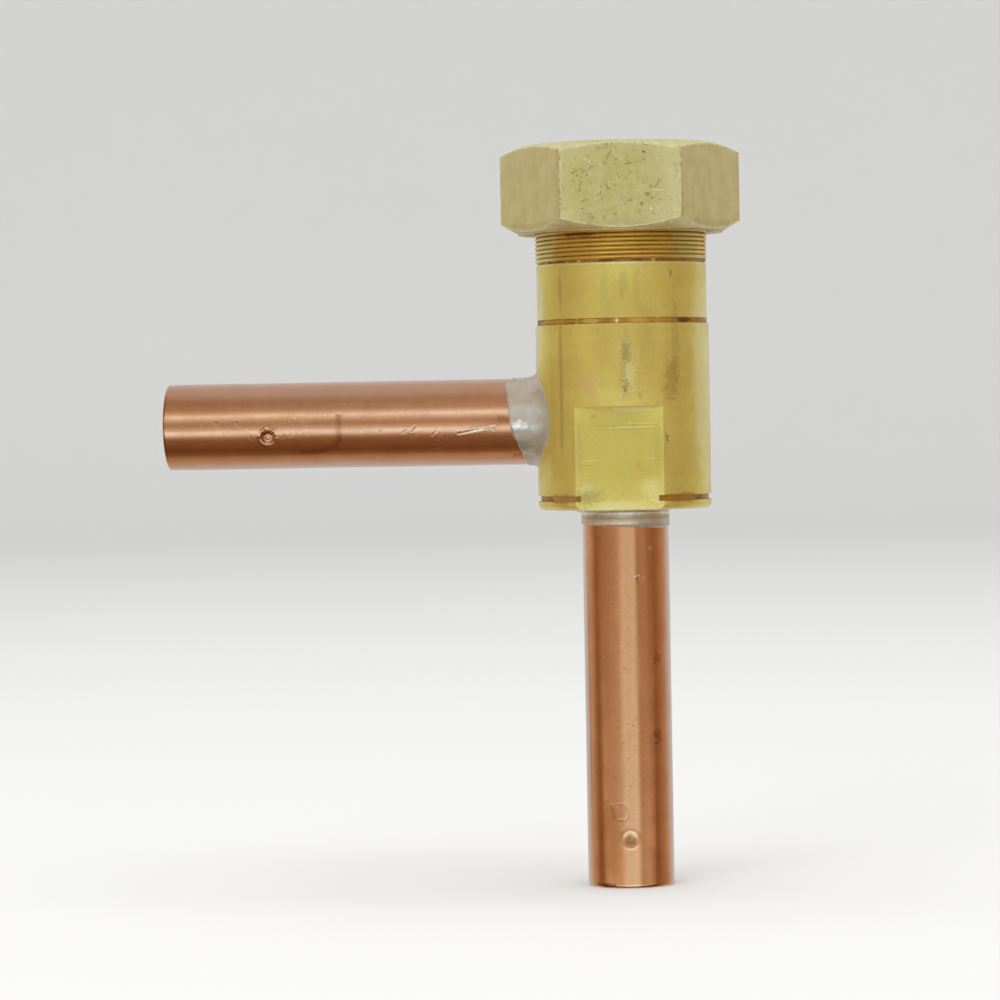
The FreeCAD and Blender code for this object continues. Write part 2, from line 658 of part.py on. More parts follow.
def put_at(body, across, along):
    """Moves a piece that was built on the axis to its place."""
    body.setExpression("Placement.Base.x", across.formula)
    body.setExpression("Placement.Base.y", along.formula)


def build_header_pins():
    """Four contact pins, each in its own glass seal."""
    made = []
    pin_r = D["header_pin"] / 2
    for number in range(HEADER_PINS):
        seal = ring(f"glass_seal_{number + 1}", pin_r, D["glass_seal"] / 2, HEADER_Z, HEADER_TOP_Z)
        pin = new_body(f"header_pin_{number + 1}")
        low = HEADER_Z - D["pin_tail"]
        top = HEADER_TOP_Z + D["pin_rise"]
        turn_section(pin, f"Pin{number + 1}", [(ZERO, low), (pin_r, low), (pin_r, top), (ZERO, top)])
        soften(pin, f"PinTip{number + 1}", "Chamfer", pin_r * PIN_TIP_SHARE, ring_edges(pin, [(pin_r, top)]))
        across, along = pin_place(number)
        put_at(seal, across, along)
        put_at(pin, across, along)
        made += [seal, pin]
    return made


def build_terminal_ring():
    """Insulating ring between the upper coil and the header plate."""
    return ring("terminal_ring", POLE_R + D["claw_thickness"], CUP_R, STACK_TOP_Z, HEADER_Z)


def pole_piece(label, foot_z, downwards, has_wall, turn_deg):
    """Builds a claw-pole sheet at the origin, with a cup's wall if asked, and puts it in its stack."""
    body = new_body(label)
    sheet_z = D["pole_sheet"]
    turn_section(body, f"{label}_sheet", [
        (POLE_R, ZERO), (CUP_R, ZERO), (CUP_R, sheet_z), (POLE_R, sheet_z),
    ])
    if has_wall:
        wall_r = CUP_R - D["pole_sheet"]
        wall_top = STACK_HEIGHT - sheet_z
        turn_section(body, f"{label}_wall", [
            (wall_r, sheet_z / 2), (CUP_R, sheet_z / 2), (CUP_R, wall_top), (wall_r, wall_top),
        ])
    claw = new_sketch(body, f"{label}_claw_outline", "YZ_Plane", POLE_R + D["pole_play"])
    tip_z = STACK_HEIGHT - sheet_z - D["claw_tip_gap"]
    root = D["claw_root"] / 2
    tip = D["claw_tip"] / 2
    draw_outline(claw, [(-root, sheet_z / 2), (root, sheet_z / 2), (tip, tip_z), (-tip, tip_z)])
    one = extrude(body, f"{label}_claw", claw, D["claw_thickness"])
    repeat_round(body, f"{label}_claws", one, CLAWS)
    upright = FreeCAD.Rotation(FreeCAD.Vector(0, 0, 1), turn_deg)
    flip = FreeCAD.Rotation(FreeCAD.Vector(1, 0, 0), 180 if downwards else 0)
    body.Placement = FreeCAD.Placement(FreeCAD.Vector(0, 0, 0), upright.multiply(flip))
    body.setExpression("Placement.Base.z", foot_z.formula)
    return body


def build_stator():
    """Two claw-pole stacks back to back, half a claw apart, each with a bobbin and its winding."""
    middle_z = STACK_Z + STACK_HEIGHT
    claw_pitch = 360 / CLAWS
    half = claw_pitch / 2
    quarter = claw_pitch / 4
    made = [
        pole_piece("lower_pole_cup", STACK_Z, False, True, 0),
        pole_piece("lower_pole_plate", middle_z, True, False, half),
        pole_piece("upper_pole_plate", middle_z, False, False, quarter),
        pole_piece("upper_pole_cup", STACK_TOP_Z, True, True, quarter + half),
    ]
    spool_r = POLE_R + D["pole_play"] * 2 + D["claw_thickness"]
    rim_r = CUP_R - D["pole_sheet"] - D["bobbin_margin"]
    wall = D["bobbin_wall"]
    for level, foot_z in (("lower", STACK_Z), ("upper", middle_z)):
        low = foot_z + D["pole_sheet"]
        top = foot_z + STACK_HEIGHT - D["pole_sheet"]
        spool = new_body(f"{level}_coil_bobbin")
        turn_section(spool, f"{level}_spool", [
            (spool_r, low), (rim_r, low), (rim_r, low + wall), (spool_r + wall, low + wall),
            (spool_r + wall, top - wall), (rim_r, top - wall), (rim_r, top), (spool_r, top),
        ])
        wire = ring(f"{level}_coil_winding", spool_r + wall, rim_r - wall / 2, low + wall, top - wall)
        made += [spool, wire]
    return made


def build_bearings():
    """Plate under the stator with its flanged bush, and the bush under the header plate."""
    lower_bore = JOURNAL_R + D["slide_gap"]
    lower_bush_r = lower_bore + D["bush_wall"]
    plate = ring("bearing_plate", lower_bush_r, CAN_INNER_R, GUIDE_TOP_Z, STACK_Z)
    lower = new_body("lower_bush")
    flange_r = lower_bush_r + D["bush_flange"]
    flange_top = STACK_Z + D["bush_flange"]
    turn_section(lower, "LowerBush", [
        (lower_bore, GUIDE_TOP_Z), (lower_bush_r, GUIDE_TOP_Z), (lower_bush_r, STACK_Z),
        (flange_r, STACK_Z), (flange_r, flange_top), (lower_bore, flange_top),
    ])
    upper_bore = PIVOT_R + D["slide_gap"]
    upper = ring("upper_bush", upper_bore, upper_bore + D["bush_wall"], STACK_TOP_Z, HEADER_Z)
    return [plate, lower, upper]


def build_rotor():
    """Magnet ring on its hub, and the shaft whose lower end is the lead screw."""
    low = STACK_Z + D["magnet_inset"] + D["thrust_height"]
    top = STACK_TOP_Z - D["magnet_inset"]
    magnet = ring("rotor_magnet", HUB_R, MAGNET_R, low, top)
    hub = ring("rotor_hub", JOURNAL_R, HUB_R, THRUST_Z + D["thrust_height"], top)
    screw = new_body("lead_screw")
    thread_top = GUIDE_TOP_Z - D["rest_gap"]
    collar_r = D["thrust_collar"] / 2
    collar_top = THRUST_Z + D["thrust_height"]
    pivot_top = HEADER_Z - D["rest_gap"]
    turn_section(screw, "Shaft", [
        (ZERO, DRIVE_NUT_Z - D["screw_overhang"]), (SCREW_R, DRIVE_NUT_Z - D["screw_overhang"]),
        (SCREW_R, thread_top), (JOURNAL_R, thread_top), (JOURNAL_R, THRUST_Z),
        (collar_r, THRUST_Z), (collar_r, collar_top), (JOURNAL_R, collar_top),
        (JOURNAL_R, top), (PIVOT_R, top), (PIVOT_R, pivot_top), (ZERO, pivot_top),
    ])
    return [magnet, hub, screw]


def build_piston():
    """Sleeve that covers the orifice tube, with its drive nut and the key that stops it turning."""
    piston = new_body("piston")
    bore_r = ORIFICE_R + D["slide_gap"]
    passage_r = SCREW_R + D["edge_break"]
    turn_section(piston, "Sleeve", [
        (bore_r, PISTON_Z), (PISTON_R, PISTON_Z), (PISTON_R, PISTON_TOP_Z), (DRIVE_NUT_R, PISTON_TOP_Z),
        (DRIVE_NUT_R, DRIVE_NUT_Z), (passage_r, DRIVE_NUT_Z), (passage_r, WEB_Z), (bore_r, WEB_Z),
    ])
    hole = new_sketch(piston, "BalanceOutline", "XY_Plane", WEB_Z - D["piston_web"])
    draw_circle(hole, ZERO, (DRIVE_NUT_R + PISTON_R) / 2, D["balance_hole"] / 2)
    room = (D["drive_nut_height"] + D["piston_web"] * 2) * PASS_SHARE
    balance = extrude(piston, "BalanceHole", hole, room, cut=True, reverse=True)
    repeat_round(piston, "BalanceHoles", balance, BALANCE_HOLES)
    key_z = LEDGE_Z + D["window_sill"] / 2
    key_top = PISTON_TOP_Z - D["rest_gap"]
    key = new_body("guide_key")
    half = D["key_width"] / 2
    for owner, cut in ((piston, True), (key, False)):
        outline = new_sketch(owner, f"{owner.Label}_key_outline", "XY_Plane", key_z)
        draw_outline(outline, [(KEY_INNER, -half), (KEY_OUTER, -half), (KEY_OUTER, half), (KEY_INNER, half)])
        extrude(owner, f"{owner.Label}_key", outline, key_top - key_z, cut=cut, reverse=cut)
    drive_nut = ring("drive_nut", SCREW_R + D["slide_gap"], DRIVE_NUT_R, DRIVE_NUT_Z, PISTON_TOP_Z)
    return [piston, key, drive_nut]


def build_guide():
    """Fixed guide for the piston, with a keyway above and a seal in its skirt."""
    body = new_body("piston_guide")
    guide_r = MOTOR_BORE_R - D["slide_gap"]
    skirt_r = CHAMBER_R - D["skirt_gap"]
    seal_top = SEAL_Z + D["seal_height"]
    turn_section(body, "GuideSection", [
        (GUIDE_BORE_R, SKIRT_Z), (skirt_r, SKIRT_Z), (skirt_r, LEDGE_Z), (guide_r, LEDGE_Z),
        (guide_r, GUIDE_TOP_Z), (GUIDE_BORE_R, GUIDE_TOP_Z),
    ])
    turn_section(body, "SealGroove", [
        (GUIDE_BORE_R - D["slide_gap"], SEAL_Z), (SEAL_R, SEAL_Z), (SEAL_R, seal_top),
        (GUIDE_BORE_R - D["slide_gap"], seal_top),
    ], cut=True)
    keyway = new_sketch(body, "KeywayOutline", "XY_Plane", LEDGE_Z)
    half = D["key_width"] / 2 + D["slide_gap"]
    outer = KEY_OUTER + D["can_gap"]
    draw_outline(keyway, [(KEY_INNER, -half), (outer, -half), (outer, half), (KEY_INNER, half)])
    extrude(body, "Keyway", keyway, GUIDE_TOP_Z - LEDGE_Z, cut=True, reverse=True)
    seal = ring("piston_seal", GUIDE_BORE_R, SEAL_R, SEAL_Z, seal_top)
    return [body, seal]


def build_orifice():
    """Closed orifice tube with tapered windows, and the soft seat round its foot."""
    body = new_body("orifice_tube")
    bore_r = D["orifice_bore"] / 2
    cap_z = ORIFICE_TOP_Z - D["orifice_cap"]
    turn_section(body, "OrificeWall", [
        (bore_r, STUB_SEAT_Z), (ORIFICE_R, STUB_SEAT_Z), (ORIFICE_R, ORIFICE_TOP_Z),
        (ZERO, ORIFICE_TOP_Z), (ZERO, cap_z), (bore_r, cap_z),
    ])
    window = new_sketch(body, "WindowOutline", "YZ_Plane")
    foot = D["window_foot"] / 2
    top = D["window_top"] / 2
    draw_outline(window, [(-foot, WINDOW_Z), (foot, WINDOW_Z), (top, WINDOW_TOP_Z), (-top, WINDOW_TOP_Z)])
    one = extrude(body, "Window", window, ORIFICE_R * PASS_SHARE, cut=True)
    repeat_round(body, "Windows", one, ORIFICE_WINDOWS)
    seat = ring("seat_ring", ORIFICE_R, ORIFICE_R + D["seat_width"], FLOOR_Z, FLOOR_Z + D["seat_height"])
    return [body, seat]


def build_all():
    """Builds every sub-part and returns them in one list."""
    made = [build_valve_body(), build_lower_stub(), build_side_stub()]
    made += [build_side_braze(), build_lower_braze(), build_union_nut()]
    made += [build_slip_washer(), build_gasket(), build_motor_can(), build_header_plate()]
    made += build_header_pins()
    made += [build_terminal_ring()]
    made += build_stator()
    made += build_bearings()
    made += build_rotor()
    made += build_piston()
    made += build_guide()
    made += build_orifice()
    return made


def check_and_write(parts):
    """Stops on any failed object or unsound shape, then writes one file for each sub-part."""
    doc.recompute()
    for item in doc.Objects:
        if "Invalid" in item.State or "Error" in item.State:
            raise RuntimeError(f"{item.Label} failed: {item.State}")
    for part in parts:
        if part.Shape.isNull() or not part.Shape.isValid() or not part.Shape.Solids:
            raise RuntimeError(f"{part.Label} has no sound solid")
    os.makedirs("parts", exist_ok=True)
    for part in parts:
        part.Shape.exportStep(f"parts/{part.Label}.step")
        print(f"{part.Label}: {part.Shape.Volume:.1f} mm3, solids {len(part.Shape.Solids)}")


check_and_write(build_all())
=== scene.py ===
"""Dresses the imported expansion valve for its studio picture.

The turned body, its neck thread, the union nut, both copper stubs and both brazed joints are modelled
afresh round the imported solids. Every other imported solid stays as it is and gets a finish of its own.
"""

import json
import logging
import math
from collections.abc import Callable, Iterable, Sequence
from dataclasses import dataclass
from enum import Enum

import bmesh
import bpy
from bmesh.types import BMEdge, BMFace, BMLayerItem, BMVert, BMesh
from bpy.types import Material, Mesh, Node, NodeOutputs, NodeSocket, NodeTree, Object
from mathutils import Matrix, Vector, noise


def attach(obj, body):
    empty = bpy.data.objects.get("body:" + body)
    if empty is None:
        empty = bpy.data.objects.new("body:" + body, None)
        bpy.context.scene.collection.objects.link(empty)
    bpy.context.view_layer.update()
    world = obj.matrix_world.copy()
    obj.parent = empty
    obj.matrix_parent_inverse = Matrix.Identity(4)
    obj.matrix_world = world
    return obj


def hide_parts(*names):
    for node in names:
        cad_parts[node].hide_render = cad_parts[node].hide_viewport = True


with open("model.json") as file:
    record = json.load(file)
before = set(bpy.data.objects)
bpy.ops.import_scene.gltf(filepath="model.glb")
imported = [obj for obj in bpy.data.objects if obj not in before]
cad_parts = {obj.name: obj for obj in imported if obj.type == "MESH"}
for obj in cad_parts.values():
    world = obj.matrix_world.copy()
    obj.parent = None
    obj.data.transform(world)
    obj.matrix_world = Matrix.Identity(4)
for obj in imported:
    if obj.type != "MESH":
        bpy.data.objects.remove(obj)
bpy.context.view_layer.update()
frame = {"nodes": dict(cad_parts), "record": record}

MM = 0.001
LOG = logging.getLogger("valve")
UPRIGHT = (0.0, 0.0, 1.0)

# Sizes that several pieces share, in millimetres.
BODY_RADIUS = 15.875
BODY_BASE = 69.1
STUB_SEAT = 75.1
SIDE_AXIS = 85.4
TUBE_RADIUS = 7.9375
TUBE_BORE = 6.2

Triple = tuple[float, float, float]
Colour = Triple
Outline = Sequence[tuple[float, float]]
Stations = Sequence[tuple[float, float]]


class Carrier(Enum):
    """Body of the record that a new piece rides on."""

    HOUSING = "housing"
    NUT = "nut"


class Slot(Enum):
    """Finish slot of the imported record."""

    BODY_BRASS = "body_brass"
    NUT_BRASS = "nut_brass"
    COPPER = "copper"
    BRAZE_ALLOY = "braze_alloy"
    WASHER_STEEL = "washer_steel"
    GASKET_FIBRE = "gasket_fibre"
    CAN_STEEL = "can_steel"
    SEAL_GLASS = "seal_glass"
    PIN_PLATING = "pin_plating"
    INSULATOR = "insulator"
    POLE_STEEL = "pole_steel"
    BOBBIN_PLASTIC = "bobbin_plastic"
    COIL_WIRE = "coil_wire"
    BUSH_BRONZE = "bush_bronze"
    FERRITE = "ferrite"
    HUB_PLASTIC = "hub_plastic"
    SCREW_STEEL = "screw_steel"
    PISTON_BRASS = "piston_brass"
    SEAL_POLYMER = "seal_polymer"


def ease(value: float, low: float, high: float) -> float:
    """Rises smoothly from 0 at low to 1 at high.

    Args:
        value: Where to read the curve.
        low: Start of the rise.
        high: End of the rise.

    Returns:
        A share from 0 to 1.
    """
    share = min(max((value - low) / (high - low), 0.0), 1.0)
    return share * share * (3 - 2 * share)


def round_course(angle: float, stations: Stations) -> float:
    """Reads a value that varies smoothly round a full turn.

    Args:
        angle: Angle in degrees.
        stations: Pairs of angle in degrees, rising from -180 to under 180, and value.

    Returns:
        The value at the angle, eased from one station to the next.
    """
    angle = (angle + 180) % 360 - 180
    closed = [*stations, (stations[0][0] + 360, stations[0][1])]
    if angle < closed[0][0]:
        angle += 360
    for (start, low), (end, high) in zip(closed, closed[1:]):
        if start <= angle <= end:
            return low + (high - low) * ease(angle, start, end)
    return closed[-1][1]


def radius_of(vert: BMVert) -> float:
    """Returns a point's distance from the upright axis in millimetres."""
    return math.hypot(vert.co.x, vert.co.y) / MM


class Workshop:
    """Turning, cutting and finishing operations that the pieces share."""

    @staticmethod
    def spin(outline: Outline, steps: int, cuts: dict[int, int] | None = None) -> BMesh:
        """Turns a closed outline about the upright axis.

        Args:
            outline: Radii and heights in millimetres.
            steps: Number of steps round the turn.
            cuts: Cuts added to an outline edge, by the edge's number.

        Returns:
            The closed turned solid.
        """
        made = bmesh.new()
        corners = [made.verts.new((radius * MM, 0.0, height * MM)) for radius, height in outline]
        sides = [made.edges.new(pair) for pair in zip(corners, corners[1:] + corners[:1])]
        for number, count in (cuts or {}).items():
            bmesh.ops.subdivide_edges(made, edges=[sides[number]], cuts=count)
        bmesh.ops.spin(
            made, geom=made.verts[:] + made.edges[:], cent=(0, 0, 0), axis=UPRIGHT,
            angle=math.tau, steps=steps, use_merge=True,
        )
        bmesh.ops.remove_doubles(made, verts=made.verts, dist=1e-7)
        bmesh.ops.recalc_face_normals(made, faces=made.faces)
        return made

    @staticmethod
    def ring_edges(made: BMesh, rings: Outline) -> list[BMEdge]:
        """Finds the round edges at given radii and heights.

        Args:
            made: The turned solid.
            rings: Radii and heights in millimetres.

        Returns:
            The edges that lie on those rings.
        """
        found = []
        for edge in made.edges:
            ends = [(radius_of(v), v.co.z / MM) for v in edge.verts]
            for radius, height in rings:
                if all(abs(r - radius) < 1e-3 and abs(z - height) < 1e-3 for r, z in ends):
                    found.append(edge)
        return found

    @staticmethod
    def soften(made: BMesh, edges: Iterable[BMEdge], width: float, steps: int) -> list[BMVert]:
        """Rounds edges of a solid.

        Args:
            made: The solid.
            edges: Its edges to round.
            width: Width of the rounding in millimetres.
            steps: Number of faces across it.

        Returns:
            The points of the rounding.
        """
        return bmesh.ops.bevel(
            made, geom=list(edges), offset=width * MM, offset_type="OFFSET", segments=steps,
            profile=0.5, affect="EDGES", material=-1, clamp_overlap=True,
        )["verts"]

    @staticmethod
    def mesh_of(made: BMesh, name: str) -> Mesh:
        """Writes a finished bmesh into a mesh and frees it.

        Args:
            made: The bmesh.
            name: Name of the new mesh.

        Returns:
            The mesh.
        """
        mesh = bpy.data.meshes.new(name)
        made.to_mesh(mesh)
        made.free()
        return mesh

    @staticmethod
    def combine(base: Mesh, tool: Mesh, operation: str) -> Mesh:
        """Cuts one mesh with another, or keeps what they share.

        Args:
            base: The mesh that is worked on.
            tool: The mesh that works on it.
            operation: DIFFERENCE or INTERSECT.

        Returns:
            The new mesh. Both inputs are removed.
        """
        scene = bpy.context.scene.collection
        holder = bpy.data.objects.new("blank", base)
        cutter = bpy.data.objects.new("cutter", tool)
        scene.objects.link(holder)
        scene.objects.link(cutter)
        boolean = holder.modifiers.new("cut", "BOOLEAN")
        boolean.operation = operation
        boolean.object = cutter
        boolean.solver = "EXACT"
        graph = bpy.context.evaluated_depsgraph_get()
        result = bpy.data.meshes.new_from_object(holder.evaluated_get(graph))
        bpy.data.objects.remove(holder)
        bpy.data.objects.remove(cutter)
        bpy.data.meshes.remove(base)
        bpy.data.meshes.remove(tool)
        return result

    @staticmethod
    def edges_over(made: BMesh, degrees: float) -> list[BMEdge]:
        """Finds the edges whose faces meet at more than an angle.

        Args:
            made: The solid.
            degrees: The least angle between the two faces.

        Returns:
            The edges.
        """
        least = math.radians(degrees)
        return [edge for edge in made.edges if edge.calc_face_angle(0.0) > least]

    @staticmethod
    def cut_faces(made: BMesh, faces: Iterable[BMFace], point: Vector, normal: Vector) -> None:
        """Divides flat faces along a plane, without taking anything away.

        Args:
            made: The solid.
            faces: The faces to divide.
            point: A point of the plane.
            normal: The plane's normal.
        """
        faces = list(faces)
        parts = set(faces)
        for face in faces:
            parts.update(face.edges)
            parts.update(face.verts)
        bmesh.ops.bisect_plane(made, geom=list(parts), dist=1e-7, plane_co=point, plane_no=normal)

    @staticmethod
    def border_large_faces(made: BMesh, worn: BMLayerItem, width: float, least_area: float) -> None:
        """Gives each large flat face a narrow border, so that its worn edges stay narrow.

        Args:
            made: The solid.
            worn: Layer of the worn share.
            width: Width of the border in millimetres.
            least_area: Smallest area that counts as large, in square millimetres.
        """
        large = [face for face in made.faces if face.calc_area() > least_area * MM * MM]
        bmesh.ops.inset_individual(made, faces=large, thickness=width * MM, use_even_offset=True)
        for face in large:
            for vert in face.verts:
                vert[worn] = 0.0

    @staticmethod
    def finish_piece(
        mesh: Mesh, name: str, carrier: Carrier, material: Material, slot: Slot,
        stands_for: Sequence[str] = (), smooth_to: float = 35.0,
    ) -> Object:
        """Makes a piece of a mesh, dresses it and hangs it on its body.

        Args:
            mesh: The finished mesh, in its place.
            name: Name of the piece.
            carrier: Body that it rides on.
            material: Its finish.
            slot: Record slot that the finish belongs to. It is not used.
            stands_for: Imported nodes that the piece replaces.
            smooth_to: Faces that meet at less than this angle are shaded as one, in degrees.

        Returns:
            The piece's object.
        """
        mesh.name = name
        mesh.materials.clear()
        mesh.materials.append(material)
        mesh.polygons.foreach_set("use_smooth", [True] * len(mesh.polygons))
        mesh.set_sharp_from_angle(angle=math.radians(smooth_to))
        piece = bpy.data.objects.new(name, mesh)
        bpy.context.scene.collection.objects.link(piece)
        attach(piece, carrier.value)
        if stands_for:
            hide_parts(*stands_for)
        mesh.calc_loop_triangles()
        LOG.info("%s: %d triangles on %s", name, len(mesh.loop_triangles), carrier.value)
        return piece


class Wiring:
    """Places and links the nodes of one shader tree."""

    def __init__(self, tree: NodeTree) -> None:
        """Starts with an empty tree."""
        self.tree = tree
        tree.nodes.clear()

    def feed(self, socket: NodeSocket, value: object) -> None:
        """Links a socket to another, or sets its constant."""
        if isinstance(value, NodeSocket):
            self.tree.links.new(value, socket)
        else:
            socket.default_value = (*value, 1.0) if socket.type == "RGBA" else value

    def node(self, kind: str, values: dict[str | int, object] | None = None, **settings: object) -> Node:
        """Adds a node.

        Args:
            kind: The node's type.
            values: Constants or sockets for its inputs.
            settings: Its own settings.

        Returns:
            The node.
        """
        made = self.tree.nodes.new(kind)
        for name, value in settings.items():
            setattr(made, name, value)
        for name, value in (values or {}).items():
            self.feed(made.inputs[name], value)
        return made

    def sum_up(
        self, operation: str, first: object, second: object = 0.0, clamp: bool = False,
    ) -> NodeSocket:
        """Adds a Math node and returns its result."""
        made = self.node("ShaderNodeMath", {0: first, 1: second}, operation=operation, use_clamp=clamp)
        return made.outputs[0]

    def times(self, first: object, second: object) -> NodeSocket:
        """Adds a product and returns its result."""
        return self.sum_up("MULTIPLY", first, second)

    def plus(self, first: object, second: object) -> NodeSocket:
        """Adds a sum and returns its result."""
        return self.sum_up("ADD", first, second)

    def minus(self, first: object, second: object) -> NodeSocket:
        """Adds a difference and returns its result."""
        return self.sum_up("SUBTRACT", first, second)

    def scaled_plus(self, first: object, factor: float, offset: float) -> NodeSocket:
        """Adds a product with an offset and returns its result."""
        made = self.node("ShaderNodeMath", {0: first, 1: factor, 2: offset}, operation="MULTIPLY_ADD")
        return made.outputs[0]

    def vector(self, operation: str, first: object, second: object = (0.0, 0.0, 0.0)) -> Node:
        """Adds a Vector Math node."""
        return self.node("ShaderNodeVectorMath", {0: first, 1: second}, operation=operation)

    def rise(
        self, value: object, low: object, high: object, to_low: float = 0.0, to_high: float = 1.0,
    ) -> NodeSocket:
        """Adds a smooth step from low to high and returns its result."""
        made = self.node(
            "ShaderNodeMapRange",
            {"Value": value, "From Min": low, "From Max": high, "To Min": to_low, "To Max": to_high},
            interpolation_type="SMOOTHSTEP",
        )
        return made.outputs["Result"]

    def blend(self, share: object, low: object, high: object, kind: str = "MIX") -> NodeSocket:
        """Adds a colour mix and returns its result."""
        made = self.node("ShaderNodeMix", data_type="RGBA", blend_type=kind)
        self.feed(made.inputs["Factor"], share)
        self.feed(made.inputs[6], low)
        self.feed(made.inputs[7], high)
        return made.outputs[2]

    def grain(
        self, place: object, scale: object, detail: float = 3.0, roughness: float = 0.55,
    ) -> NodeSocket:
        """Adds a noise texture and returns its value."""
        values = {"Vector": place, "Scale": scale, "Detail": detail, "Roughness": roughness}
        return self.node("ShaderNodeTexNoise", values).outputs[0]

    def use(
        self, group: NodeTree, place: NodeSocket, values: dict[str, object] | None = None,
    ) -> NodeOutputs:
        """Adds a node group with its own values and returns its outputs."""
        return self.node("ShaderNodeGroup", {"Place": place, **(values or {})}, node_tree=group).outputs


class Effect:
    """Starts a shader node group that reads a place and gives masks."""

    def __init__(self, name: str, inputs: dict[str, object], masks: Sequence[str]) -> None:
        """Makes the group's sockets.

        Args:
            name: The group's name.
            inputs: Default of each input beside the place; a triple makes a vector socket.
            masks: Names of the outputs.
        """
        self.group = bpy.data.node_groups.new(name, "ShaderNodeTree")
        for title, default in {"Place": (0.0, 0.0, 0.0), **inputs}.items():
            kind = "NodeSocketVector" if isinstance(default, tuple) else "NodeSocketFloat"
            socket = self.group.interface.new_socket(title, in_out="INPUT", socket_type=kind)
            socket.default_value = default
        for title in masks:
            self.group.interface.new_socket(title, in_out="OUTPUT", socket_type="NodeSocketFloat")
        self.wiring = Wiring(self.group)
        self.inputs = self.wiring.node("NodeGroupInput").outputs
        self.outputs = self.wiring.node("NodeGroupOutput").inputs
        self.place = self.inputs["Place"]

    def give(self, title: str, value: NodeSocket) -> None:
        """Links a result to an output."""
        self.wiring.feed(self.outputs[title], value)


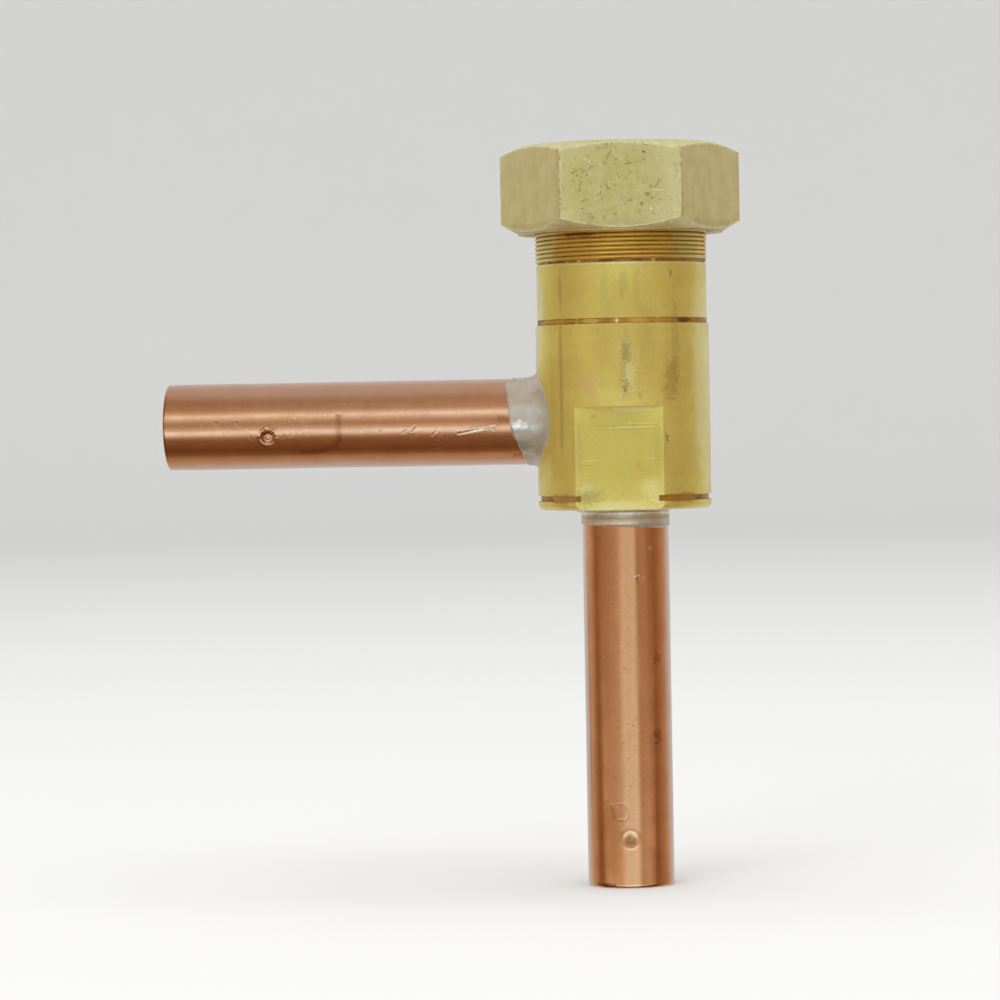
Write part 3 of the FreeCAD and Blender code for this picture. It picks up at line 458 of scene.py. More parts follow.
class Effects:
    """The surface effects that several finishes share, each built once."""

    def __init__(self) -> None:
        """Builds the groups."""
        self.mottle = self._mottle()
        self.drawn_lines = self._drawn_lines()
        self.scratches = self._scratches()
        self.pits = self._pits()
        self.spot = self._spot()
        self.held_marks = self._held_marks()
        self.handling = self._handling()

    @staticmethod
    def _mottle() -> NodeTree:
        """Builds the cloudy tarnish: a coarse and a fine mask."""
        made = Effect("cloudy tarnish", {"Size": 0.006, "Contrast": 0.2}, ("Cloud", "Fleck"))
        w = made.wiring
        scale = w.sum_up("DIVIDE", 1.0, made.inputs["Size"])
        low = w.minus(0.5, made.inputs["Contrast"])
        high = w.plus(0.5, made.inputs["Contrast"])
        coarse = w.grain(made.place, scale, 4.0, 0.6)
        fine = w.grain(made.place, w.times(scale, 7.0), 3.0, 0.65)
        made.give("Cloud", w.rise(coarse, low, high))
        made.give("Fleck", w.rise(fine, 0.5, 0.72))
        return made.group

    @staticmethod
    def _drawn_lines() -> NodeTree:
        """Builds the fine parallel lines that a die, a lathe or a cutter leaves."""
        made = Effect("tool lines", {"Fineness": (1.0, 1.0, 1.0)}, ("Lines", "Bands"))
        w = made.wiring
        stretched = w.vector("MULTIPLY", made.place, made.inputs["Fineness"]).outputs[0]
        wide = w.vector("SCALE", stretched)
        wide.inputs["Scale"].default_value = 0.16
        made.give("Lines", w.grain(stretched, 1.0, 2.0, 0.7))
        made.give("Bands", w.grain(wide.outputs[0], 1.0, 2.0, 0.5))
        return made.group

    @staticmethod
    def _scratches() -> NodeTree:
        """Builds thin broken scratches that run one way."""
        made = Effect(
            "scratches",
            {"Turn": (0.0, 0.0, 0.0), "Fineness": (1.0, 1.0, 1.0), "Scarcity": 0.7},
            ("Mask",),
        )
        w = made.wiring
        scarcity = made.inputs["Scarcity"]
        shift = w.vector("SCALE", made.place)
        w.feed(shift.inputs["Scale"], w.scaled_plus(w.grain(made.place, 160.0, 1.0), 0.06, 0.5))
        bent_place = w.vector("ADD", made.place, shift.outputs[0]).outputs[0]
        turned = w.node(
            "ShaderNodeVectorRotate", {"Vector": bent_place, "Rotation": made.inputs["Turn"]},
            rotation_type="EULER_XYZ",
        )
        stretched = w.vector("MULTIPLY", turned.outputs[0], made.inputs["Fineness"]).outputs[0]
        made.give("Mask", w.rise(w.grain(stretched, 1.0, 0.0), scarcity, w.plus(scarcity, 0.05)))
        return made.group

    @staticmethod
    def _pits() -> NodeTree:
        """Builds small ragged pits that gather in patches."""
        made = Effect("pits", {"Pitch": 0.0012, "Reach": 0.25, "Scarcity": 0.55}, ("Mask",))
        w = made.wiring
        reach = made.inputs["Reach"]
        scarcity = made.inputs["Scarcity"]
        scale = w.sum_up("DIVIDE", 1.0, made.inputs["Pitch"])
        ragged = w.grain(made.place, w.times(scale, 2.5), 2.0)
        cells = w.node("ShaderNodeTexVoronoi", {"Vector": made.place, "Scale": scale})
        edge = w.plus(cells.outputs["Distance"], w.times(ragged, 0.35))
        near = w.minus(1.0, w.rise(edge, reach, w.plus(reach, 0.12)))
        patch = w.grain(made.place, w.times(scale, 0.35), 2.0)
        keep = w.rise(patch, scarcity, w.plus(scarcity, 0.08))
        made.give("Mask", w.times(near, keep))
        return made.group

    @staticmethod
    def _spot() -> NodeTree:
        """Builds one soft, ragged spot at a place."""
        made = Effect(
            "spot",
            {"Centre": (0.0, 0.0, 0.0), "Reach": (1.0, 1.0, 1.0), "Ragged": 0.4, "Grain": 900.0},
            ("Mask",),
        )
        w = made.wiring
        off = w.vector("SUBTRACT", made.place, made.inputs["Centre"]).outputs[0]
        share = w.vector("DIVIDE", off, made.inputs["Reach"]).outputs[0]
        distance = w.vector("LENGTH", share).outputs["Value"]
        ripple = w.minus(w.grain(made.place, made.inputs["Grain"], 3.0, 0.6), 0.5)
        ragged = w.times(ripple, w.times(made.inputs["Ragged"], 4.0))
        made.give("Mask", w.rise(w.plus(distance, ragged), 1.0, 0.45))
        return made.group

    @staticmethod
    def _handling() -> NodeTree:
        """Builds the short curled strokes and the small bright specks of a part that has knocked about."""
        made = Effect("handling marks", {"Pitch": 0.0015}, ("Strokes", "Specks", "Blotch"))
        w = made.wiring
        scale = w.sum_up("DIVIDE", 1.0, made.inputs["Pitch"])
        field = w.grain(made.place, w.times(scale, 0.45), 1.0)
        off_line = w.sum_up("ABSOLUTE", w.minus(field, 0.5))
        line = w.minus(1.0, w.rise(off_line, 0.004, 0.022))
        breaks = w.grain(made.place, w.times(scale, 1.1), 1.0)
        made.give("Strokes", w.times(line, w.rise(breaks, 0.54, 0.60)))
        cells = w.node("ShaderNodeTexVoronoi", {"Vector": made.place, "Scale": scale})
        near = w.minus(1.0, w.rise(cells.outputs["Distance"], 0.08, 0.2))
        chosen = w.rise(w.grain(made.place, w.times(scale, 0.6), 1.0), 0.46, 0.56)
        made.give("Specks", w.times(near, chosen))
        made.give("Blotch", w.rise(w.grain(made.place, w.times(scale, 0.8), 4.0, 0.7), 0.4, 0.62))
        return made.group

    @staticmethod
    def _held_marks() -> NodeTree:
        """Builds rubbed edges and darkened hollows from the shares that a mesh carries, which on the stubs'
        dents also hold painted shade and painted highlights.
        """
        made = Effect("edge wear and patina", {"Grain": 1400.0}, ("Worn", "Patina", "Tone"))
        w = made.wiring
        worn = w.node("ShaderNodeAttribute", attribute_name="worn").outputs["Fac"]
        broken = w.rise(w.grain(made.place, made.inputs["Grain"], 3.0, 0.6), 0.3, 0.62)
        made.give("Worn", w.sum_up("MULTIPLY", worn, broken, clamp=True))
        patina = w.node("ShaderNodeAttribute", attribute_name="patina").outputs["Fac"]
        thin = w.rise(w.grain(made.place, 420.0, 2.0, 0.6), 0.2, 0.5, 0.45, 1.0)
        made.give("Patina", w.sum_up("MULTIPLY", patina, thin, clamp=True))
        made.give("Tone", w.rise(w.grain(made.place, 170.0, 3.0, 0.6), 0.38, 0.62))
        return made.group


@dataclass(frozen=True)
class Spot:
    """A stain or mark at one place on a surface.

    Attributes:
        centre: Its middle in millimetres.
        reach: Its half size along each axis in millimetres.
        colour: Its colour.
        strength: How strongly it covers.
        ragged: How broken its border is.
        roughness: Change of roughness inside it.
        height: Change of height inside it, in millimetres.
        grain: Fineness of its border, in waves per metre.
        on_top: Whether it lies over the patina.
    """

    centre: Triple
    reach: Triple
    colour: Colour
    strength: float = 0.6
    ragged: float = 0.4
    roughness: float = 0.1
    height: float = 0.0
    grain: float = 900.0
    on_top: bool = False

    def mask(self, w: Wiring, effects: Effects, place: NodeSocket) -> NodeSocket:
        """Adds the spot's mask to a tree and returns it.

        Args:
            w: Wiring of the material's tree.
            effects: The shared effects.
            place: The point that is shaded.

        Returns:
            The mask's socket.
        """
        return w.use(effects.spot, place, {
            "Centre": tuple(value * MM for value in self.centre),
            "Reach": tuple(value * MM for value in self.reach), "Ragged": self.ragged, "Grain": self.grain,
        })[0]


@dataclass(frozen=True)
class MetalFinish:
    """A bare metal with tarnish, tool lines, scratches, pits, spots and worn edges.

    Attributes:
        name: Name of the material.
        bright: Clean colour.
        dull: Tarnished colour.
        fleck: Colour of the small flecks.
        worn: Colour of rubbed edges.
        patina: Colours of hollows, the warm one and the dark one.
        fleck_share: How strongly the flecks show.
        roughness: Roughness of clean metal.
        dullness: What tarnish adds to it.
        cloud_size: Size of the tarnish's clouds in millimetres.
        cloud_contrast: Half width of the clouds' border.
        cloud_share: How strongly clouds show.
        lines: Tool lines per metre along each axis.
        line_height: Height of the tool lines in millimetres.
        line_tint: How strongly the lines darken the metal.
        scratch_turn: Turn of the scratches in radians.
        scratch_lines: Scratches per metre along each axis.
        scratch_scarcity: Noise level above which a scratch shows.
        scratch_depth: Depth of the scratches in millimetres.
        scratch_share: How strongly the scratches show.
        pit_pitch: Spacing of the pits in millimetres.
        pit_scarcity: Noise level above which pits show.
        pit_depth: Depth of the pits in millimetres.
        pit_colour: Colour in the pits.
        pit_zone: Middle and half size of the zone that has pits in millimetres, or None for all over.
        knocks: How strongly strokes, specks and blotches show in that zone.
        spots: Stains and marks at given places.
        metallic: Metallic share.
    """

    name: str
    bright: Colour
    dull: Colour
    fleck: Colour
    worn: Colour
    patina: tuple[Colour, Colour] = ((0.48, 0.22, 0.035), (0.20, 0.085, 0.02))
    fleck_share: float = 0.2
    roughness: float = 0.3
    dullness: float = 0.15
    cloud_size: float = 6.0
    cloud_contrast: float = 0.18
    cloud_share: float = 1.0
    lines: Triple = (60.0, 60.0, 9000.0)
    line_height: float = 0.002
    line_tint: float = 0.15
    scratch_turn: Triple = (0.0, 0.5, 0.4)
    scratch_lines: Triple = (5000.0, 5000.0, 300.0)
    scratch_scarcity: float = 0.74
    scratch_depth: float = 0.01
    scratch_share: float = 0.4
    pit_pitch: float = 1.2
    pit_scarcity: float = 0.62
    pit_depth: float = 0.02
    pit_colour: Colour = (0.05, 0.04, 0.02)
    pit_zone: tuple[Triple, Triple] | None = None
    knocks: float = 0.0
    spots: tuple[Spot, ...] = ()
    metallic: float = 1.0

    def build(self, effects: Effects) -> Material:
        """Makes the material.

        Args:
            effects: The shared effects.

        Returns:
            The material.
        """
        material = bpy.data.materials.new(self.name)
        material.use_nodes = True
        w = Wiring(material.node_tree)
        place = w.node("ShaderNodeTexCoord").outputs["Object"]
        clouds = {"Size": self.cloud_size * MM, "Contrast": self.cloud_contrast}
        tarnish = w.use(effects.mottle, place, clouds)
        tool = w.use(effects.drawn_lines, place, {"Fineness": self.lines})
        scratch = w.use(effects.scratches, place, {
            "Turn": self.scratch_turn, "Fineness": self.scratch_lines, "Scarcity": self.scratch_scarcity,
        })[0]
        pit = w.use(effects.pits, place, {"Pitch": self.pit_pitch * MM, "Scarcity": self.pit_scarcity})[0]
        zone = None
        if self.pit_zone:
            zone = Spot(*self.pit_zone, self.pit_colour, ragged=0.2, grain=300.0).mask(w, effects, place)
            pit = w.times(pit, zone)
        held = w.use(effects.held_marks, place)
        cloud = w.times(tarnish["Cloud"], self.cloud_share)
        colour = w.blend(cloud, self.bright, self.dull)
        colour = w.blend(w.times(tarnish["Fleck"], self.fleck_share), colour, self.fleck)
        band = w.rise(tool["Bands"], 0.35, 0.65)
        colour = w.blend(w.times(band, self.line_tint), colour, self.dull, "MULTIPLY")
        rough = w.scaled_plus(cloud, self.dullness, self.roughness)
        height = w.times(tool["Lines"], self.line_height)
        for spot in self.spots:
            if spot.on_top:
                continue
            mask = spot.mask(w, effects, place)
            colour = w.blend(w.times(mask, spot.strength), colour, spot.colour)
            rough = w.plus(rough, w.times(mask, spot.roughness))
            if spot.height:
                height = w.plus(height, w.times(mask, spot.height))
        if self.knocks and zone:
            knocks = w.use(effects.handling, place)
            share = w.times(zone, self.knocks)
            colour = w.blend(w.times(w.times(knocks["Blotch"], share), 0.5), colour, self.dull)
            strokes = w.times(knocks["Strokes"], share)
            colour = w.blend(w.times(strokes, 0.8), colour, self.fleck)
            height = w.minus(height, w.times(strokes, self.pit_depth))
            specks = w.times(knocks["Specks"], share)
            colour = w.blend(specks, colour, self.worn)
            height = w.plus(height, w.times(specks, self.pit_depth))
        colour = w.blend(w.times(scratch, self.scratch_share), colour, self.worn)
        colour = w.blend(w.times(pit, 0.8), colour, self.pit_colour)
        hollow = w.blend(held["Tone"], *self.patina)
        colour = w.blend(held["Patina"], colour, hollow)
        for spot in self.spots:
            if spot.on_top:
                mask = spot.mask(w, effects, place)
                colour = w.blend(w.times(mask, spot.strength), colour, spot.colour)
        colour = w.blend(w.times(held["Worn"], 0.75), colour, self.worn)
        height = w.minus(height, w.times(scratch, self.scratch_depth))
        height = w.minus(height, w.times(pit, self.pit_depth))
        bump = w.node("ShaderNodeBump", {"Strength": 1.0, "Distance": MM, "Height": height})
        shader = w.node("ShaderNodeBsdfPrincipled", {
            "Base Color": colour, "Metallic": self.metallic, "Roughness": rough, "Normal": bump.outputs[0],
        })
        w.node("ShaderNodeOutputMaterial", {"Surface": shader.outputs[0]})
        return material


@dataclass(frozen=True)
class PlainFinish:
    """A plated, moulded, sintered or wound surface of an inner piece.

    Attributes:
        name: Name of the material.
        colour: Main colour.
        shade: Colour of its darker grain.
        roughness: Roughness.
        metallic: Metallic share.
        fineness: Grain waves per metre along each axis.
        height: Height of the grain in millimetres.
        transmission: Share of light let through.
    """

    name: str
    colour: Colour
    shade: Colour
    roughness: float
    metallic: float = 0.0
    fineness: Triple = (1500.0, 1500.0, 1500.0)
    height: float = 0.004
    transmission: float = 0.0

    def build(self, effects: Effects) -> Material:
        """Makes the material.

        Args:
            effects: The shared effects.

        Returns:
            The material.
        """
        material = bpy.data.materials.new(self.name)
        material.use_nodes = True
        w = Wiring(material.node_tree)
        place = w.node("ShaderNodeTexCoord").outputs["Object"]
        tool = w.use(effects.drawn_lines, place, {"Fineness": self.fineness})
        tarnish = w.use(effects.mottle, place, {"Size": 0.003, "Contrast": 0.25})
        share = w.times(w.rise(tool["Lines"], 0.35, 0.65), 0.6)
        colour = w.blend(share, self.colour, self.shade)
        rough = w.scaled_plus(tarnish["Cloud"], 0.1, self.roughness)
        height = w.times(tool["Lines"], self.height)
        bump = w.node("ShaderNodeBump", {"Strength": 1.0, "Distance": MM, "Height": height})
        shader = w.node("ShaderNodeBsdfPrincipled", {
            "Base Color": colour, "Metallic": self.metallic, "Roughness": rough, "Normal": bump.outputs[0],
            "Transmission Weight": self.transmission,
        })
        w.node("ShaderNodeOutputMaterial", {"Surface": shader.outputs[0]})
        return material


@dataclass
class ValveBody:
    """Turned brass body with its milled flat, side port and threaded neck. Sizes in millimetres."""

    base: float = BODY_BASE
    radius: float = BODY_RADIUS
    base_chamfer: float = 0.6
    rim_groove: Triple = (70.7, 71.7, 15.375)
    collar_groove: Triple = (102.8, 103.8, 15.525)
    collar_radius: float = 15.55
    collar_top: float = 113.9
    neck_radius: float = 15.265
    top: float = 129.1
    motor_bore: float = 12.7
    ledge: float = 97.0
    chamber: float = 10.0
    floor: float = 77.1
    orifice: float = 5.5
    stub_seat: float = STUB_SEAT
    socket: float = 7.9775
    flat_depth: float = 2.16
    flat_top: float = 87.85
    port_height: float = SIDE_AXIS
    port_radius: float = TUBE_BORE
    port_seat: float = 11.5
    thread_pitch: float = 0.794
    thread_crest: float = 15.75
    thread_start: float = 114.16
    thread_turns: float = 18.0
    border: float = 0.35
    steps: int = 192
    thread_steps: int = 120

    def outline(self) -> list[tuple[float, float]]:
        """Lists the section's corners, outside first and then up and down the bores."""
        low, high, groove = self.rim_groove
        collar_low, collar_high, collar_groove = self.collar_groove
        return [
            (self.socket, self.base), (self.radius - self.base_chamfer, self.base),
            (self.radius, self.base + self.base_chamfer),
            (self.radius, self.base + self.base_chamfer + self.border),
            (self.radius, low), (groove, low), (groove, high), (self.radius, high),
            (self.radius, high + self.border),
            (self.radius, self.flat_top + self.border), (self.radius, collar_low - self.border),
            (self.radius, collar_low), (collar_groove, collar_low), (collar_groove, collar_high),
            (self.collar_radius, collar_high), (self.collar_radius, collar_high + self.border),
            (self.collar_radius, self.collar_top - self.border - 0.2),
            (self.collar_radius, self.collar_top),
            (self.neck_radius, self.collar_top), (self.neck_radius, self.collar_top + self.border),
            (self.neck_radius, self.top), (self.motor_bore, self.top), (self.motor_bore, self.ledge),
            (self.chamber, self.ledge), (self.chamber, self.floor), (self.orifice, self.floor),
            (self.orifice, self.stub_seat), (self.socket, self.stub_seat),
        ]

    def build_barrel(self) -> Mesh:
        """Builds the body: turned, then milled and bored.

        Returns:
            The body's mesh.
        """
        made = Workshop.spin(self.outline(), self.steps)
        low, high, _ = self.rim_groove
        collar_low, collar_high, _ = self.collar_groove
        sharp = [
            (self.radius, low), (self.radius, high),
            (self.radius, collar_low), (self.collar_radius, collar_high),
        ]
        Workshop.soften(made, Workshop.ring_edges(made, sharp), 0.09, 2)
        turned = [
            (self.radius - self.base_chamfer, self.base), (self.radius, self.base + self.base_chamfer),
            (self.neck_radius, self.top), (self.motor_bore, self.top),
        ]
        Workshop.soften(made, Workshop.ring_edges(made, turned), 0.25, 3)
        Workshop.soften(made, Workshop.ring_edges(made, [(self.collar_radius, self.collar_top)]), 0.2, 3)
        barrel = Workshop.mesh_of(made, "barrel")
        milled = Workshop.combine(barrel, self.cutter_block(), "DIFFERENCE")
        bored = Workshop.combine(milled, self.port_plug(), "DIFFERENCE")
        return self.break_flat_edges(bored)

    def cutter_block(self) -> Mesh:
        """Builds the block of metal that the milling cutter takes away.

        Returns:
            The block's mesh.
        """
        made = bmesh.new()
        bmesh.ops.create_cube(made, size=1.0)
        past_base = 2.0
        size = Vector((40, self.flat_depth * 2, self.flat_top - self.base + past_base)) * MM
        bmesh.ops.scale(made, vec=size, verts=made.verts)
        middle = Vector((0, -self.radius, (self.flat_top + self.base - past_base) / 2)) * MM
        bmesh.ops.translate(made, vec=middle, verts=made.verts)
        return Workshop.mesh_of(made, "cutter block")

    def port_plug(self) -> Mesh:
        """Builds the metal that the side port's drills take away.

        Returns:
            The plug's mesh.
        """
        beyond = 20.0
        outline = [
            (0.001, 0.0), (self.port_radius, 0.0), (self.port_radius, self.port_seat),
            (self.socket, self.port_seat), (self.socket, beyond), (0.001, beyond),
        ]
        made = Workshop.spin(outline, 96)
        turn = Matrix.Rotation(-math.pi / 2, 4, "Y")
        bmesh.ops.transform(made, matrix=turn, verts=made.verts)
        bmesh.ops.translate(made, vec=Vector((0, 0, self.port_height * MM)), verts=made.verts)
        bmesh.ops.recalc_face_normals(made, faces=made.faces)
        return Workshop.mesh_of(made, "port plug")

    def break_flat_edges(self, mesh: Mesh) -> Mesh:
        """Rounds the flat's edges a little and marks them as worn.

        Args:
            mesh: The milled body. It is removed.

        Returns:
            The new mesh.
        """
        made = bmesh.new()
        made.from_mesh(mesh)
        bpy.data.meshes.remove(mesh)
        worn = made.verts.layers.float.new("worn")
        patina = made.verts.layers.float.new("patina")
        plane = (self.flat_depth - self.radius) * MM
        on_flat = [
            edge for edge in Workshop.edges_over(made, 20)
            if all(abs(v.co.y - plane) < 1e-6 and v.co.z < (self.flat_top + 0.01) * MM for v in edge.verts)
        ]
        for vert in Workshop.soften(made, on_flat, 0.12, 2):
            vert[worn] = 0.12
        to_flat = self.radius - self.flat_depth
        half_width = math.sqrt(self.radius ** 2 - to_flat ** 2) - self.border
        notch_width = math.sqrt(self.rim_groove[2] ** 2 - to_flat ** 2) - self.border
        lowest = self.base + self.base_chamfer + self.border
        over_notch = self.rim_groove[1] + self.border
        highest = self.flat_top - self.border
        widths = (-half_width, -notch_width, notch_width, half_width)
        borders = [(Vector((across, 0, 0)), Vector((1, 0, 0))) for across in widths]
        borders += [(Vector((0, 0, level)), Vector((0, 0, 1))) for level in (lowest, over_notch, highest)]
        for point, normal in borders:
            milled = [face for face in made.faces if all(abs(v.co.y - plane) < 1e-6 for v in face.verts)]
            Workshop.cut_faces(made, milled, point * MM, normal)
        for vert in made.verts:
            radius = radius_of(vert)
            height = vert.co.z / MM
            level = abs(vert.co.y - plane) < 1e-6 and abs(vert.co.x) / MM < half_width + 0.01
            if level and lowest - 0.01 < height < highest + 0.01:
                vert[worn] = 0.0
            if height < self.base + self.base_chamfer + 0.2 and radius > self.radius - 1.0:
                vert[worn] = max(vert[worn], 0.5)
            if abs(height - self.collar_top) < 0.3 and radius > self.neck_radius + 0.05:
                vert[worn] = max(vert[worn], 1.0)
            if vert.co.y - plane > -1e-6 and abs(vert.co.y - plane) < 0.15 * MM:
                vert[patina] = 0.0
            else:
                vert[patina] = self.hollow_share(radius, height)
        return Workshop.mesh_of(made, "valve body")

    def hollow_share(self, radius: float, height: float) -> float:
        """Works out how much patina a point of the body has.

        Args:
            radius: Radius of the point in millimetres.
            height: Height of the point in millimetres.

        Returns:
            A share from 0 on open faces to 1 in a groove or at the thread's root.
        """
        low, high, groove = self.rim_groove
        collar_low, collar_high, collar_groove = self.collar_groove
        if low - 0.05 < height < high + 0.05 and groove - 0.05 < radius < self.radius - 0.06:
            return 1.0
        if collar_low - 0.05 < height < collar_high + 0.05 and abs(radius - collar_groove) < 0.015:
            return 1.0
        if height > self.collar_top - 0.01 and abs(radius - self.neck_radius) < 0.01:
            return 1.0
        return 0.0

    def build_thread(self) -> Mesh:
        """Builds the neck's right-hand thread as one ridge that fades in and out.

        Returns:
            The ridge's mesh.
        """
        made = bmesh.new()
        root = self.neck_radius - 0.06
        half = self.thread_pitch / 2
        flank = [
            (root, 0.99), (self.neck_radius + 0.15, 0.94), (self.neck_radius + 0.24, 0.82),
            (self.thread_crest - 0.13, 0.62), (self.thread_crest - 0.045, 0.38),
            (self.thread_crest - 0.01, 0.18),
        ]
        section = [(radius, -share * half) for radius, share in flank]
        section.append((self.thread_crest, 0.0))
        section += [(radius, share * half) for radius, share in reversed(flank)]
        corners = [made.verts.new((r * MM, 0.0, (self.thread_start + z) * MM)) for r, z in section]
        made.faces.new(corners)
        steps = int(self.thread_turns * self.thread_steps)
        bmesh.ops.spin(
            made, geom=made.verts[:] + made.edges[:] + made.faces[:], cent=(0, 0, 0), axis=UPRIGHT,
            dvec=Vector((0, 0, self.thread_pitch / self.thread_steps)) * MM,
            angle=self.thread_turns * math.tau, steps=steps,
        )
        end = self.thread_start + self.thread_pitch * self.thread_turns
        patina = made.verts.layers.float.new("patina")
        for vert in made.verts:
            radius = radius_of(vert)
            vert[patina] = 0.7 * (1 - ease(radius - self.neck_radius, 0.12, 0.32))
            height = vert.co.z / MM
            fade = ease(height, self.thread_start - half, self.thread_start + half)
            fade *= ease(end - height, -half, half)
            share = (root + (radius - root) * fade) / radius
            vert.co.x *= share
            vert.co.y *= share
        bmesh.ops.recalc_face_normals(made, faces=made.faces)
        return Workshop.mesh_of(made, "neck thread")

    def make(self, brass: Material, thread_brass: Material) -> None:
        """Builds and dresses the body and its thread.

        Args:
            brass: Finish of the body.
            thread_brass: Finish of the thread.
        """
        Workshop.finish_piece(
            self.build_barrel(), "turned_body", Carrier.HOUSING, brass, Slot.BODY_BRASS,
            ["valve_body"], 32,
        )
        Workshop.finish_piece(
            self.build_thread(), "neck_thread", Carrier.HOUSING, thread_brass, Slot.BODY_BRASS, (), 60,
        )


@dataclass
class UnionNut:
    """Hexagonal union nut with its chamfers, washer face, bore and open lip. Sizes in millimetres."""

    bottom: float = 119.5
    top: float = 135.65
    across_flats: float = 38.1
    turn: float = 4.15
    corner_rounding: float = 0.28
    crown_radius: float = 17.85
    crown_slope: float = 22.0
    foot_slope: float = 30.0
    face_radius: float = 18.75
    face_height: float = 0.2
    bore: float = 15.83
    lip: float = 132.0
    mouth: float = 11.0
    corner_lag: float = 30.0
    steps: int = 192

    def turned_blank(self) -> Mesh:
        """Builds the turned shape that the hexagon is cut from.

        Returns:
            The blank's mesh.
        """
        beyond = 24.0
        drop = (beyond - self.crown_radius) * math.tan(math.radians(self.crown_slope))
        lift = (beyond - self.face_radius) * math.tan(math.radians(self.foot_slope))
        foot = self.bottom + self.face_height
        outline = [
            (self.bore, self.bottom), (self.face_radius, self.bottom), (self.face_radius, foot),
            (beyond, foot + lift), (beyond, self.top - drop), (self.crown_radius, self.top),
            (self.mouth, self.top), (self.mouth, self.lip), (self.bore, self.lip),
        ]
        made = Workshop.spin(outline, self.steps)
        openings = [(self.mouth, self.top), (self.bore, self.bottom)]
        Workshop.soften(made, Workshop.ring_edges(made, openings), 0.4, 3)
        Workshop.soften(made, Workshop.ring_edges(made, [(self.crown_radius, self.top)]), 0.25, 3)
        return Workshop.mesh_of(made, "nut blank")

    @property
    def corner(self) -> float:
        """Radius of the hexagon's corners before they are rounded."""
        return self.across_flats / 2 / math.cos(math.pi / 6)

    def hexagon(self) -> Mesh:
        """Builds the hexagonal bar.

        Returns:
            The bar's mesh.
        """
        made = bmesh.new()
        radius = self.corner * MM
        bmesh.ops.create_cone(
            made, cap_ends=True, cap_tris=False, segments=6, radius1=radius, radius2=radius, depth=40 * MM,
        )
        uprights = [edge for edge in made.edges if abs(edge.verts[0].co.z - edge.verts[1].co.z) > 0.01]
        Workshop.soften(made, uprights, self.corner_rounding, 4)
        middle = Vector((0, 0, (self.bottom + self.top) / 2 * MM))
        turn = Matrix.Rotation(math.radians(self.turn - self.corner_lag), 3, "Z")
        bmesh.ops.rotate(made, cent=(0, 0, 0), matrix=turn, verts=made.verts)
        bmesh.ops.translate(made, vec=middle, verts=made.verts)
        return Workshop.mesh_of(made, "nut bar")

    def make(self, brass: Material) -> None:
        """Builds and dresses the nut.

        Args:
            brass: Finish of the nut.
        """
        shaped = Workshop.combine(self.turned_blank(), self.hexagon(), "INTERSECT")
        made = bmesh.new()
        made.from_mesh(shaped)
        bpy.data.meshes.remove(shaped)
        worn = made.verts.layers.float.new("worn")
        bmesh.ops.remove_doubles(made, verts=made.verts, dist=1e-6)
        arcs = []
        for edge in Workshop.edges_over(made, 15):
            least = min(radius_of(v) for v in edge.verts)
            level = abs(edge.verts[0].co.z - edge.verts[1].co.z) < 0.002
            if least > self.face_radius + 0.05 and level:
                arcs.append(edge)
        middle = (self.bottom + self.top) / 2 * MM
        for vert in Workshop.soften(made, arcs, 0.13, 2):
            vert[worn] = 0.9 if vert.co.z > middle else 0.7
        Workshop.border_large_faces(made, worn, 0.3, 20.0)
        patina = made.verts.layers.float.new("patina")
        for vert in made.verts:
            if radius_of(vert) > self.corner - 0.2:
                vert[patina] = 0.6
        mesh = Workshop.mesh_of(made, "hexagon nut")
        Workshop.finish_piece(mesh, "hexagon_nut", Carrier.NUT, brass, Slot.NUT_BRASS, ["union_nut"], 25)


@dataclass(frozen=True)
class Press:
    """A mark pressed into a stub's wall.

    Attributes:
        course: Angle in degrees and height in millimetres of the points that it passes.
        width: Half width in millimetres.
        depth: Depth in millimetres.
        rim: Height of the metal raised round it in millimetres.
        dark: Share of patina in it.
        bright: How rubbed it is.
    """

    course: tuple[tuple[float, float], ...]
    width: float
    depth: float
    rim: float = 0.0
    dark: float = 0.4
    bright: float = 0.0


class Dent(Enum):
    """Kind of round dent that a stub carries."""

    PUNCHED_STOP = "punched stop"
    SHALLOW_MARK = "shallow mark"


